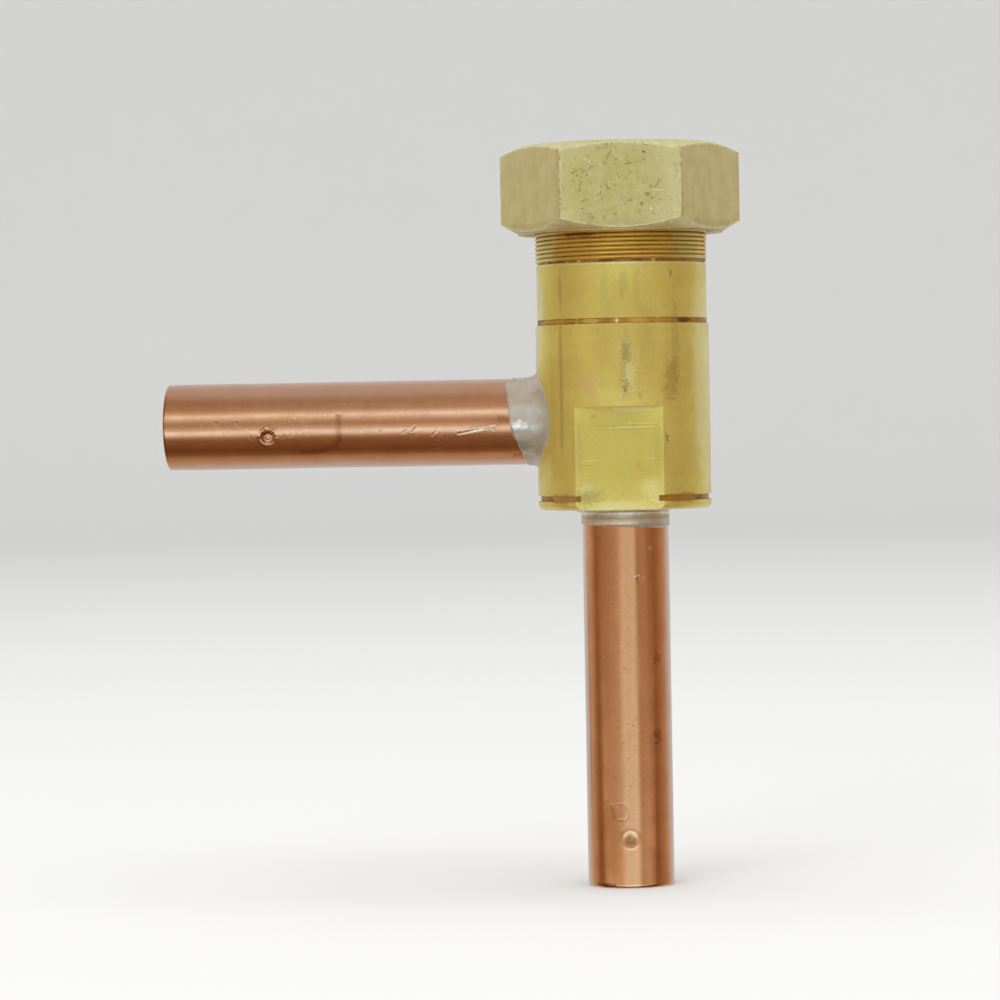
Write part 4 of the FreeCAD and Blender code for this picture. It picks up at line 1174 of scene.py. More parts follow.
@dataclass
class CopperStub:
    """Copper stub with its socket, its round dent and handling marks. Sizes in millimetres.

    The stub is made upright with its open end at the origin, and its dent faces +X until it is placed.
    """

    name: str
    stands_for: str
    length: float
    placement: Matrix
    dent: Dent
    dent_height: float
    dent_width: float
    dent_depth: float
    presses: tuple[Press, ...] = ()
    fine_from: float = 12.0
    fine_to: float = 36.0
    fine_step: float = 0.24
    coarse_step: float = 0.7
    radius: float = TUBE_RADIUS
    bore: float = TUBE_BORE
    socket: float = 6.415
    socket_depth: float = 17.5
    stop_zone_end: float = 22.5
    steps: int = 224
    unevenness: float = 0.03

    def build(self) -> Mesh:
        """Builds the tube's wall and presses its marks.

        Returns:
            The stub's mesh.
        """
        outline = [
            (self.socket, 0.0), (self.radius, 0.0),
            (self.radius, self.fine_from), (self.radius, self.fine_to),
            (self.radius, self.length), (self.bore, self.length), (self.bore, self.stop_zone_end),
            (self.bore, self.socket_depth), (self.socket, self.socket_depth),
        ]
        fine = int((self.fine_to - self.fine_from) / self.fine_step)
        coarse = int((self.length - self.fine_to) / self.coarse_step)
        ends = int(self.fine_from / self.coarse_step)
        made = Workshop.spin(outline, self.steps, {1: ends, 2: fine, 3: coarse, 6: 16})
        Workshop.soften(made, Workshop.ring_edges(made, [(self.radius, 0.0)]), 0.45, 4)
        Workshop.soften(made, Workshop.ring_edges(made, [(self.socket, 0.0)]), 0.15, 2)
        worn = made.verts.layers.float.new("worn")
        patina = made.verts.layers.float.new("patina")
        middle = (self.radius + self.bore) / 2
        for vert in made.verts:
            radius = radius_of(vert)
            angle = math.degrees(math.atan2(vert.co.y, vert.co.x))
            height = vert.co.z / MM
            if radius > middle:
                change, dark, bright = self.wall_change(angle, height)
                # On the dents, the patina and worn shares also carry painted shade and painted highlights.
                vert[patina] = dark
                vert[worn] = max(bright, 0.6 * (1 - ease(height, 0.05, 0.4)))
            else:
                change = self.bore_change(angle, height)
            share = (radius + change) / radius
            vert.co.x *= share
            vert.co.y *= share
        bmesh.ops.transform(made, matrix=self.placement, verts=made.verts)
        bmesh.ops.recalc_face_normals(made, faces=made.faces)
        return Workshop.mesh_of(made, self.name)

    def wall_change(self, angle: float, height: float) -> Triple:
        """Works out how far the outside stands off its cylinder, and how dark and how rubbed or painted
        bright it is there.

        Args:
            angle: Angle round the tube in degrees.
            height: Height above the open end in millimetres.

        Returns:
            The change of radius in millimetres, the share of patina with the dent's painted shade, and the
            worn share with the dent's painted highlights.
        """
        across = math.radians(angle) * self.radius
        change, dark, bright = self.dent_change(across, height - self.dent_height)
        for press in self.presses:
            hollow, inside = self.press_change(press, angle, height)
            change += hollow
            dark = max(dark, press.dark * inside)
            bright = max(bright, press.bright * inside)
        waves = noise.noise(Vector((across * 0.09, height * 0.05, self.length)))
        ripple = noise.noise(Vector((across * 0.5, height * 0.16, 7.0)))
        fade = ease(height, 0.0, 3.0)
        swell = (waves * self.unevenness + ripple * self.unevenness * 0.25) * fade - self.unevenness * 0.5
        return change + swell, dark, bright

    def dent_change(self, across: float, up: float) -> Triple:
        """Works out the round dent's own form.

        Args:
            across: Distance from its middle round the tube in millimetres.
            up: Distance from its middle along the tube in millimetres.

        Returns:
            The change of radius in millimetres, the share of patina, which paints shade on one side of a
            punched stop's wall, and the worn share, which paints a highlight on its bump and a glint on a
            shallow mark's rim.
        """
        distance = math.hypot(across, up)
        if distance > self.dent_width * 1.6:
            return 0.0, 0.0, 0.0
        inside = 1 - ease(distance, self.dent_width * 0.45, self.dent_width * 0.98)
        rim = math.exp(-((distance - self.dent_width * 1.1) / 0.22) ** 2)
        turn = math.atan2(across, up)
        if self.dent is Dent.PUNCHED_STOP:
            ragged = 0.6 + 0.8 * noise.noise(Vector((math.cos(turn) * 3.1, math.sin(turn) * 3.1, 4.0)))
            ragged = max(ragged * (1.0 - 0.35 * math.sin(turn)), 0.1)
            bump = math.exp(-(math.hypot(across - 0.38, up + 0.05) / 0.46) ** 2)
            change = -self.dent_depth * inside + 0.15 * ragged * rim + 0.46 * bump
            wall = math.exp(-((distance - self.dent_width * 0.72) / 0.3) ** 2)
            # Painted shade: the side of the wall that faces away gets patina. The bump gets a painted
            # highlight through the worn share, and the rim is rubbed.
            away = 0.5 - 0.5 * (across * 0.8 + up * 0.6) / max(distance, 0.01)
            return change, 0.85 * wall * away, min(max(0.75 * rim * ragged, bump), 1.0)
        # Painted glint on the rim's upper right, carried by the worn share.
        glint = max(math.cos(turn - math.radians(20)), 0.0) ** 4
        return -self.dent_depth * inside + 0.03 * rim, 0.7 * inside + 0.3 * rim, 0.5 * rim * glint

    def press_change(self, press: Press, angle: float, height: float) -> tuple[float, float]:
        """Works out what one pressed mark takes off the outside.

        Args:
            press: The mark.
            angle: Angle round the tube in degrees.
            height: Height above the open end in millimetres.

        Returns:
            The change of radius in millimetres and how far inside the mark the point is, from 0 to 1.
        """
        around = self.radius * math.pi / 180
        here = Vector((angle * around, height))
        points = [Vector((a * around, h)) for a, h in press.course]
        nearest = min((here - point).length for point in points)
        for start, end in zip(points, points[1:]):
            run = end - start
            share = min(max((here - start).dot(run) / run.length_squared, 0.0), 1.0)
            nearest = min(nearest, (here - start - run * share).length)
        if nearest > press.width * 3:
            return 0.0, 0.0
        inside = 1 - ease(nearest, 0.0, press.width)
        rim = press.rim * math.exp(-((nearest - press.width) / (press.width * 0.45)) ** 2)
        return rim - press.depth * inside, inside

    def bore_change(self, angle: float, height: float) -> float:
        """Works out the bump that a punched stop leaves inside the bore.

        Args:
            angle: Angle round the tube in degrees.
            height: Height above the open end in millimetres.

        Returns:
            The change of radius in millimetres.
        """
        if self.dent is not Dent.PUNCHED_STOP or height < self.socket_depth + 0.01:
            return 0.0
        distance = math.hypot(math.radians(angle) * self.bore, height - self.dent_height)
        return -0.7 * (1 - ease(distance, 0.3, 1.3))

    def place_of(self, angle: float, height: float) -> Triple:
        """Finds a point of the outside in the valve's own frame.

        Args:
            angle: Angle round the tube in degrees, from its dent.
            height: Height above the open end in millimetres.

        Returns:
            The point in millimetres.
        """
        turn = math.radians(angle)
        point = Vector((math.cos(turn) * self.radius, math.sin(turn) * self.radius, height)) * MM
        placed = self.placement @ point / MM
        return (placed.x, placed.y, placed.z)

    def make(self, copper: Material) -> None:
        """Builds and dresses the stub.

        Args:
            copper: Finish of the stub.
        """
        Workshop.finish_piece(
            self.build(), self.name, Carrier.HOUSING, copper, Slot.COPPER, [self.stands_for], 50,
        )


@dataclass
class BrazeJoint:
    """Braze that runs along a tube as a film and up to the body as a hollow fillet.

    Lengths are in millimetres and the angles of the stations go round the tube. The film takes the first
    part of the way to the body, and the fillet the rest.
    """

    name: str
    stands_for: str
    landing: Callable[[float, float], float]
    placement: Matrix
    film_end: Stations
    spread: Stations
    climb: Stations
    film: float = 0.14
    lump: float = 0.05
    ridge: float = 0.0
    tube_radius: float = TUBE_RADIUS
    flat_part: float = 0.45
    steps: int = 240
    cuts: int = 44

    def build(self) -> Mesh:
        """Builds a plain ring and moves its points onto the joint.

        The ring's height stands for the share of the way from the film's end to the body. Its outer
        wall becomes the skin that shows and its inner wall stays inside the tube's and the body's wall.

        Returns:
            The joint's mesh.
        """
        ring = [(1.0, 0.0), (2.0, 0.0), (2.0, 1.0), (1.0, 1.0)]
        made = Workshop.spin(ring, self.steps, {1: self.cuts, 3: self.cuts})
        patina = made.verts.layers.float.new("patina")
        for vert in made.verts:
            inner_wall = radius_of(vert) < 1.5
            angle = math.atan2(vert.co.y, vert.co.x)
            share = vert.co.z / MM
            vert[patina] = 0.9 * ease(share, 0.955, 0.985)
            along, radius = self.skin(math.degrees(angle), share)
            if inner_wall:
                radius = self.tube_radius - 0.12
                if share >= 0.5:
                    along = max(along, self.landing(radius, math.degrees(angle)) + 0.4)
            vert.co = Vector((math.cos(angle) * radius, math.sin(angle) * radius, along)) * MM
        bmesh.ops.transform(made, matrix=self.placement, verts=made.verts)
        bmesh.ops.recalc_face_normals(made, faces=made.faces)
        return Workshop.mesh_of(made, self.name)

    def skin(self, angle: float, share: float) -> tuple[float, float]:
        """Finds a point of the skin that shows.

        Args:
            angle: Angle round the tube in degrees.
            share: Way from the film's end, 0, to the body, 1.

        Returns:
            The distance along the tube and the radius, both in millimetres.
        """
        start = round_course(angle, self.film_end)
        spread = round_course(angle, self.spread)
        climb = round_course(angle, self.climb)
        film_radius = self.tube_radius + self.film
        meeting = self.landing(film_radius, angle)
        edge_radius = self.tube_radius + spread
        edge = self.landing(edge_radius, angle) + 0.06
        turn = math.radians(angle)
        if share < self.flat_part:
            way = share / self.flat_part
            along = start + (meeting - climb - start) * way
            swell = ease(way, 0.0, 0.12)
            radius = self.tube_radius - 0.05 + (self.film + 0.05) * swell
            spot = Vector((math.cos(turn) * 4, math.sin(turn) * 4, along * 0.6))
            radius += self.lump * noise.noise(spot * 1.3) * swell
            radius += self.ridge * math.exp(-((way - 0.14) / 0.1) ** 2)
            return along, radius
        way = (share - self.flat_part) / (1 - self.flat_part)
        first = Vector((meeting - climb, film_radius))
        corner = Vector((meeting, film_radius + 0.1))
        last = Vector((edge, edge_radius))
        point = first * (1 - way) ** 2 + corner * (2 * way * (1 - way)) + last * way ** 2
        spot = Vector((math.cos(turn) * 5, math.sin(turn) * 5, point.x * 0.6))
        lump = self.lump * noise.noise(spot * 1.3) * (1 - ease(way, 0.7, 1.0))
        return point.x, point.y + lump

    def make(self, alloy: Material) -> None:
        """Builds and dresses the joint.

        Args:
            alloy: Finish of the braze.
        """
        Workshop.finish_piece(
            self.build(), self.name, Carrier.HOUSING, alloy, Slot.BRAZE_ALLOY, [self.stands_for], 60,
        )


@dataclass
class Studio:
    """Camera, floor, backdrop and light of the picture. Lengths in metres, angles in degrees."""

    azimuth: float = 5.509
    elevation: float = 1.2
    roll: float = -1.035
    distance: float = 0.7298
    lens: float = 143.0
    sensor: float = 36.0
    shift_right: float = 0.0228
    shift_up: float = 0.01035
    height: float = 0.081
    floor_tone: Colour = (0.80, 0.80, 0.79)
    floor_radius: float = 2.2
    curve_radius: float = 0.9
    curve_steps: int = 14
    front_lift: float = 0.615
    front_side: float = 0.69
    gain: float = 0.68
    fill: float = 0.78

    def make_camera(self) -> None:
        """Sets the camera at the picture's viewing angle."""
        turn = math.radians(self.azimuth)
        lift = math.radians(self.elevation)
        back = Vector((math.sin(turn) * math.cos(lift), -math.cos(turn) * math.cos(lift), math.sin(lift)))
        right = Vector((math.cos(turn), math.sin(turn), 0.0))
        up = back.cross(right)
        lean = Matrix.Rotation(math.radians(self.roll), 3, back)
        right = lean @ right
        up = lean @ up
        aim = Vector((0, 0, self.height)) - right * self.shift_right - up * self.shift_up
        eye = aim + back * self.distance
        data = bpy.data.cameras.new("picture camera")
        data.lens = self.lens
        data.sensor_width = self.sensor
        data.clip_start = 0.01
        data.clip_end = 20.0
        camera = bpy.data.objects.new("picture camera", data)
        camera.matrix_world = Matrix.Translation(eye) @ Matrix((right, up, back)).transposed().to_4x4()
        bpy.context.scene.collection.objects.link(camera)
        bpy.context.scene.camera = camera

    def make_floor(self) -> None:
        """Makes one pale sheet that is the floor and curves up into the backdrop."""
        made = bmesh.new()
        rim = bmesh.ops.create_circle(made, cap_ends=True, segments=96, radius=self.floor_radius)["verts"]
        outer = [edge for edge in made.edges if all(vert in rim for vert in edge.verts)]
        step_turn = math.pi / 2 / self.curve_steps
        for step in range(self.curve_steps):
            before = step_turn * step
            angle = step_turn * (step + 1)
            grown = bmesh.ops.extrude_edge_only(made, edges=outer)["geom"]
            verts = [item for item in grown if isinstance(item, BMVert)]
            outer = [item for item in grown if isinstance(item, BMEdge)]
            radius = self.floor_radius + self.curve_radius * math.sin(angle)
            earlier = self.floor_radius + self.curve_radius * math.sin(before)
            bmesh.ops.scale(made, vec=(radius / earlier, radius / earlier, 1.0), verts=verts)
            lift = self.curve_radius * (math.cos(before) - math.cos(angle))
            bmesh.ops.translate(made, vec=(0, 0, lift), verts=verts)
        bmesh.ops.recalc_face_normals(made, faces=made.faces)
        mesh = Workshop.mesh_of(made, "backdrop")
        mesh.polygons.foreach_set("use_smooth", [True] * len(mesh.polygons))
        material = bpy.data.materials.new("pale paper")
        material.use_nodes = True
        w = Wiring(material.node_tree)
        place = w.node("ShaderNodeTexCoord").outputs["Object"]
        tint = w.blend(w.grain(place, 6.0), self.floor_tone, tuple(v * 0.985 for v in self.floor_tone))
        shader = w.node("ShaderNodeBsdfPrincipled", {"Base Color": tint, "Roughness": 0.85})
        w.node("ShaderNodeOutputMaterial", {"Surface": shader.outputs[0]})
        mesh.materials.append(material)
        paper = bpy.data.objects.new("backdrop", mesh)
        paper.visible_glossy = False
        bpy.context.scene.collection.objects.link(paper)

    def make_light(self) -> None:
        """Lights the studio: a soft surround that polished metal mirrors, and two soft lamps."""
        world = bpy.data.worlds.new("studio")
        bpy.context.scene.world = world
        world.use_nodes = True
        w = Wiring(world.node_tree)
        way = w.node("ShaderNodeTexCoord").outputs["Generated"]
        parts = w.node("ShaderNodeSeparateXYZ", {0: way})
        forward = w.times(parts.outputs["Y"], -1.0)
        upright = self.arc(w, forward, parts.outputs["Z"], LIFT_STATIONS, self.front_lift)
        level = self.arc(w, forward, parts.outputs["X"], SIDE_STATIONS, self.front_side)
        strength = w.times(w.times(upright, level), self.gain)
        lit = w.node("ShaderNodeBackground", {"Color": self.tint_by_strength(w, strength), "Strength": 1.0})
        plain = w.node("ShaderNodeBackground", {"Color": (1.0, 0.995, 0.985), "Strength": self.fill})
        glossy = w.node("ShaderNodeLightPath").outputs["Is Glossy Ray"]
        mixed = w.node("ShaderNodeMixShader", {0: glossy, 1: plain.outputs[0], 2: lit.outputs[0]})
        w.node("ShaderNodeOutputWorld", {"Surface": mixed.outputs[0]})
        self.lamp("overhead softbox", (0.0, -0.2, 1.6), (0.0, 0.0, 0.05), 1.6, 14.0)
        self.lamp("front softbox", (-0.7, -1.5, 0.9), (0.0, 0.0, 0.08), 1.0, 7.0)

    @staticmethod
    def tint_by_strength(w: Wiring, strength: NodeSocket) -> NodeSocket:
        """Makes the surround's dark parts warm and its bright parts cool.

        Args:
            w: Wiring of the world's tree.
            strength: Brightness of the surround.

        Returns:
            The surround's colour. It is grey at a brightness of 0.5.
        """
        share = w.times(strength, 2.0)
        red = w.times(w.sum_up("POWER", share, 0.67), 0.5)
        blue = w.times(w.sum_up("POWER", share, 1.35), 0.5)
        mixed = w.node("ShaderNodeCombineColor", {"Red": red, "Green": strength, "Blue": blue})
        return mixed.outputs[0]

    def arc(
        self, w: Wiring, forward: NodeSocket, sideways: NodeSocket, stations: Stations, front: float,
    ) -> NodeSocket:
        """Adds the surround's brightness round one axis, as a share of its brightness in front.

        Args:
            w: Wiring of the world's tree.
            forward: How far a direction points out of the picture.
            sideways: How far it points along the arc.
            stations: Angle in degrees and brightness, in rising order.
            front: Brightness straight in front.

        Returns:
            The share, which fades to 1 near the arc's own axis.
        """
        turn = w.sum_up("ARCTAN2", sideways, forward)
        share = w.sum_up("DIVIDE", self.ramp_of(w, turn, stations), front)
        squares = w.plus(w.times(forward, forward), w.times(sideways, sideways))
        fade = w.rise(w.sum_up("SQRT", squares), 0.1, 0.5)
        return w.plus(1.0, w.times(fade, w.minus(share, 1.0)))

    @staticmethod
    def ramp_of(w: Wiring, angle: NodeSocket, stations: Stations) -> NodeSocket:
        """Adds a curve of brightness over an angle.

        Args:
            w: Wiring of the world's tree.
            angle: The angle in radians, -pi to pi.
            stations: Angle in degrees and brightness, in rising order.

        Returns:
            The brightness.
        """
        share = w.node("ShaderNodeMapRange", {"Value": angle, "From Min": -math.pi, "From Max": math.pi})
        ramp = w.node("ShaderNodeValToRGB", {"Fac": share.outputs["Result"]})
        ramp.color_ramp.interpolation = "LINEAR"
        elements = ramp.color_ramp.elements
        while len(elements) < len(stations):
            elements.new(0.5)
        for element, (degrees, value) in zip(elements, stations):
            element.position = (degrees + 180) / 360
            element.color = (value, value, value, 1.0)
        return ramp.outputs["Color"]

    @staticmethod
    def lamp(name: str, place: Triple, aim: Triple, size: float, power: float) -> None:
        """Adds one soft lamp that polished metal doesn't mirror.

        Args:
            name: Name of the lamp.
            place: Where it stands.
            aim: What it lights.
            size: Side of its square face.
            power: Its power in watts.
        """
        data = bpy.data.lights.new(name, "AREA")
        data.size = size
        data.energy = power
        lamp = bpy.data.objects.new(name, data)
        lamp.location = place
        lamp.rotation_mode = "QUATERNION"
        lamp.rotation_quaternion = (Vector(aim) - Vector(place)).to_track_quat("-Z", "Y")
        lamp.visible_glossy = False
        bpy.context.scene.collection.objects.link(lamp)

    def make(self) -> None:
        """Sets up the whole studio."""
        bpy.context.scene.view_settings.view_transform = "Standard"
        self.make_camera()
        self.make_floor()
        self.make_light()


# Brightness of the surround by its angle above the horizon, from in front and over the top to behind.
LIFT_STATIONS = (
    (-180.0, 0.66), (-147.0, 0.62), (-128.0, 0.57), (-114.0, 0.48), (-102.0, 0.42), (-92.0, 0.33),
    (-83.0, 0.16), (-67.0, 0.11), (-42.0, 0.16), (-33.0, 0.22), (-27.0, 0.42), (-21.0, 1.10), (-14.0, 1.35),
    (-9.0, 0.78), (-6.0, 0.62), (-2.0, 0.58), (1.5, 0.41), (7.0, 0.42), (14.0, 0.52), (21.0, 0.85),
    (28.0, 1.35), (35.0, 0.80), (42.0, 0.50), (50.0, 0.42), (65.0, 0.38), (74.0, 0.39), (92.0, 0.46),
    (114.0, 0.53), (128.0, 0.58), (147.0, 0.66), (180.0, 0.66),
)

# Brightness of the surround by its angle to the right, from in front.
SIDE_STATIONS = (
    (-180.0, 0.64), (-142.0, 0.62), (-123.0, 0.49), (-109.0, 0.43), (-97.0, 0.32), (-88.0, 0.18),
    (-77.0, 0.20), (-60.0, 0.29), (-44.0, 0.375), (-29.0, 0.44), (-21.0, 0.50), (-14.0, 0.67),
    (-5.0, 0.71), (5.0, 0.68), (20.0, 0.72), (27.0, 0.62), (32.0, 0.37), (48.0, 0.365), (56.0, 0.315),
    (64.0, 0.23), (79.0, 0.18), (90.0, 0.22), (108.0, 0.33), (120.0, 0.40), (134.0, 0.52),
    (153.0, 0.62), (180.0, 0.64),
)


def flat_lines(colour: Colour, rows: Iterable[Sequence[float]]) -> tuple[Spot, ...]:
    """Lists level lines that the cutter left on the milled flat.

    Args:
        colour: Their colour.
        rows: Middle across and up, half length, half width, strength and raggedness of each line.

    Returns:
        The lines.
    """
    return tuple(
        Spot((across, -13.8, up), (half_length, 0.5, half_width), colour, strength, ragged, 0.0)
        for across, up, half_length, half_width, strength, ragged in rows
    )


def body_spots() -> tuple[Spot, ...]:
    """Lists the stains, streaks and rubbed places on the turned body, with painted sheen down both side
    edges and a painted highlight along the top of the flat.
    """
    orange = (0.74, 0.40, 0.07)
    olive = (0.50, 0.40, 0.10)
    dark = (0.20, 0.16, 0.06)
    pale = (1.0, 0.90, 0.42)
    return (
        Spot((1.27, -15.8, 109.6), (1.3, 2.0, 2.8), (0.52, 0.45, 0.15), 0.6, 0.25, 0.08, 0.0, 700.0),
        Spot((1.0, -15.8, 108.0), (0.5, 2.0, 1.4), (0.36, 0.32, 0.12), 0.5, 0.5, 0.08, 0.0, 1600.0),
        Spot((9.72, -12.55, 111.7), (0.22, 1.0, 0.75), dark, 0.9, 0.35, 0.1, -0.02, 2500.0),
        Spot((2.31, -15.7, 110.2), (0.55, 1.0, 0.14), pale, 0.8, 0.2, -0.1, 0.0, 2500.0),
        Spot((1.5, -15.4, 100.5), (7.5, 5.0, 15.5), (0.68, 0.48, 0.10), 0.8, 0.15, 0.0, 0.0, 250.0),
        # Pale bands down the body's right and left edges: painted sheen, a painted reflection of the pale
        # surroundings at the grazing edges.
        Spot((14.9, -5.2, 92.0), (3.4, 5.6, 25.0), (0.95, 0.86, 0.42), 0.6, 0.15, 0.04, 0.0, 350.0),
        Spot((-15.4, -3.8, 104.0), (3.2, 5.4, 12.5), (0.88, 0.82, 0.50), 0.6, 0.15, 0.04, 0.0, 350.0),
        Spot((-10.45, -11.95, 92.0), (0.55, 0.9, 16.0), olive, 0.6, 0.25, 0.05),
        Spot((-10.5, -11.9, 109.0), (0.55, 0.9, 4.8), olive, 0.6, 0.25, 0.05),
        Spot((-12.2, -10.1, 86.0), (0.9, 1.3, 14.0), (0.72, 0.55, 0.14), 0.5, 0.25),
        Spot((10.4, -12.0, 99.0), (1.0, 1.5, 13.0), (0.62, 0.48, 0.12), 0.5, 0.25),
        Spot((3.6, -15.4, 109.0), (0.9, 2.0, 5.0), (0.70, 0.52, 0.12), 0.5, 0.2),
        Spot((-2.2, -15.7, 109.0), (1.1, 2.0, 5.0), (0.66, 0.52, 0.14), 0.45, 0.25),
        Spot((-5.28, -14.97, 91.9), (2.1, 1.6, 3.1), (0.88, 0.58, 0.22), 0.6, 0.35, 0.06, 0.0, 700.0),
        Spot((-7.6, -13.9, 94.5), (1.3, 1.6, 5.5), (0.80, 0.60, 0.16), 0.4, 0.3),
        Spot((1.5, -15.8, 95.5), (1.4, 2.0, 7.0), (0.50, 0.42, 0.15), 0.4, 0.7, 0.10, -0.005),
        Spot((1.7, -15.8, 97.6), (0.9, 2.0, 2.4), (0.36, 0.31, 0.12), 0.4, 0.8, 0.12, -0.01, 1500.0),
        Spot((1.5, -15.8, 91.6), (0.65, 2.0, 1.5), dark, 0.65, 0.9, 0.15, -0.02, 1900.0),
        Spot((2.2, -15.8, 93.2), (1.2, 2.0, 3.0), pale, 0.35, 1.0, -0.05, 0.01, 2600.0),
        Spot((0.0, -13.7, 80.0), (14.0, 0.7, 11.0), (0.72, 0.54, 0.105), 0.8, 0.05, 0.0, 0.0, 300.0),
        # Pale strip along the top of the flat: a painted highlight that lightens the shade under the step
        # there.
        Spot((2.6, -13.8, 87.3), (5.2, 0.8, 0.6), pale, 0.4, 0.3, 0.0),
        *flat_lines(pale, (
            (2.6, 84.1, 5.4, 0.13, 0.7, 0.15), (3.9, 84.75, 4.0, 0.12, 0.5, 0.15),
            (-5.4, 78.1, 2.6, 0.12, 0.5, 0.2), (6.0, 78.4, 1.8, 0.10, 0.5, 0.2),
        )),
        Spot((9.57, -12.67, 92.8), (1.7, 2.0, 4.7), (0.56, 0.38, 0.08), 0.65, 0.45, 0.08, 0.0, 800.0),
        Spot((8.6, -13.3, 90.5), (0.8, 2.0, 1.9), orange, 0.5, 0.6, 0.05, 0.0, 1300.0),
        Spot((4.08, -15.34, 89.6), (0.5, 1.5, 0.9), orange, 0.75, 0.5, 0.0, 0.0, 1500.0),
        Spot((8.69, -13.3, 82.0), (0.3, 0.6, 1.1), dark, 0.6, 0.9, 0.1, -0.02, 3000.0),
        Spot((-4.57, -13.8, 86.2), (1.0, 0.8, 0.5), orange, 0.6, 0.5, 0.0, 0.0, 1600.0),
        Spot((3.95, -13.9, 88.1), (0.8, 0.8, 0.35), orange, 0.65, 0.5, 0.0, 0.0, 1600.0),
        Spot((3.4, -13.8, 77.2), (0.9, 0.8, 1.0), (0.80, 0.44, 0.08), 0.7, 0.45, 0.0, 0.0, 1500.0),
        Spot((2.62, -13.8, 84.3), (0.5, 0.8, 0.8), orange, 0.45, 0.5, 0.0, 0.0, 1500.0),
        *flat_lines(olive, (
            (0.0, 84.35, 8.4, 0.12, 0.55, 0.15), (0.5, 83.6, 8.0, 0.10, 0.5, 0.2),
            (4.6, 76.2, 3.0, 0.10, 0.5, 0.2), (5.2, 75.65, 2.4, 0.09, 0.45, 0.2),
            (-5.6, 77.25, 2.2, 0.09, 0.5, 0.2), (-5.4, 74.7, 2.0, 0.10, 0.5, 0.2),
        )),
        Spot((-5.9, -13.8, 72.8), (2.1, 0.8, 1.9), pale, 0.45, 0.9, 0.08, 0.03, 2600.0),
        Spot((-5.4, -13.8, 71.6), (2.6, 0.8, 1.5), (0.52, 0.44, 0.14), 0.5, 1.0, 0.1, -0.02, 3000.0),
        Spot((5.4, -13.8, 72.9), (2.1, 0.8, 2.0), pale, 0.35, 0.4, -0.05, 0.0, 1400.0),
        Spot((6.36, -13.8, 71.1), (1.2, 0.8, 0.9), pale, 0.7, 0.5, -0.1, 0.0, 2000.0),
        Spot((0.0, -13.8, 70.2), (8.5, 0.8, 0.7), pale, 0.45, 0.5, -0.05, 0.0, 1800.0),
        Spot((-7.2, -13.8, 80.0), (0.7, 0.8, 6.5), (0.66, 0.52, 0.13), 0.45, 0.4),
        Spot((6.9, -13.8, 80.5), (0.9, 0.8, 6.0), (0.70, 0.52, 0.12), 0.45, 0.4),
    )


def groove_spots() -> tuple[Spot, ...]:
    """Lists the stretches of different colour in the collar's groove and the rim's groove.

    Returns:
        The stretches.
    """
    golden = (0.78, 0.52, 0.13)
    orange = (0.74, 0.42, 0.06)
    brown = (0.42, 0.19, 0.035)
    amber = (0.60, 0.31, 0.05)
    maroon = (0.22, 0.065, 0.02)
    pale = (0.95, 0.80, 0.45)
    courses = (
        (0.0, 90.0, amber, 0.85), (-50.0, 24.0, orange, 0.55), (-18.0, 7.5, golden, 0.9),
        (-6.5, 4.0, brown, 0.8), (0.2, 1.4, pale, 0.9), (4.8, 3.0, brown, 0.7), (16.0, 8.0, orange, 0.9),
        (31.0, 10.0, orange, 0.8), (51.0, 9.0, maroon, 0.9), (69.0, 7.0, brown, 0.6),
    )
    radius = 15.5
    collar_groove = 103.3
    rim_groove = 71.2
    made = []
    for angle, half, colour, strength in courses:
        turn = math.radians(angle)
        along = math.radians(half) * radius
        centre = (radius * math.sin(turn), -radius * math.cos(turn), collar_groove)
        made.append(Spot(centre, (along, along, 0.56), colour, strength, 0.2, 0.0, on_top=True))
    for across, out, reach, colour in (
        (-10.5, -11.5, (5.5, 4.5, 1.2), (0.66, 0.42, 0.13)),
        (11.0, -11.0, (6.5, 5.5, 1.2), (0.66, 0.35, 0.06)),
    ):
        centre = (across, out, rim_groove)
        made.append(Spot(centre, reach, colour, 0.95, 0.2, 0.0, grain=700.0, on_top=True))
    return tuple(made)


def thread_spots() -> tuple[Spot, ...]:
    """Lists the warmer and paler stretches of the neck's thread, and a painted shadow at its top under the
    nut.
    """
    pale = (0.82, 0.72, 0.30)
    return (
        Spot((-13.2, -8.6, 117.0), (4.2, 6.0, 30.0), pale, 0.8, 0.3, 0.05, 0.0, 500.0),
        Spot((12.8, -9.2, 116.5), (4.6, 6.0, 30.0), pale, 0.7, 0.4, 0.05, 0.0, 500.0),
        Spot((1.6, -15.3, 114.3), (2.4, 1.2, 0.55), (0.70, 0.27, 0.03), 0.85, 0.25, 0.0, on_top=True),
        Spot((-4.5, -14.9, 114.2), (2.4, 1.2, 0.5), (0.80, 0.48, 0.10), 0.6, 0.3, 0.0, on_top=True),
        # Dark band at the top of the thread, just under the nut's foot: a painted shadow of the nut.
        Spot((-7.0, -13.9, 118.9), (6.0, 3.0, 0.6), (0.36, 0.15, 0.03), 0.7, 0.4, 0.0, 0.0, 600.0, True),
    )


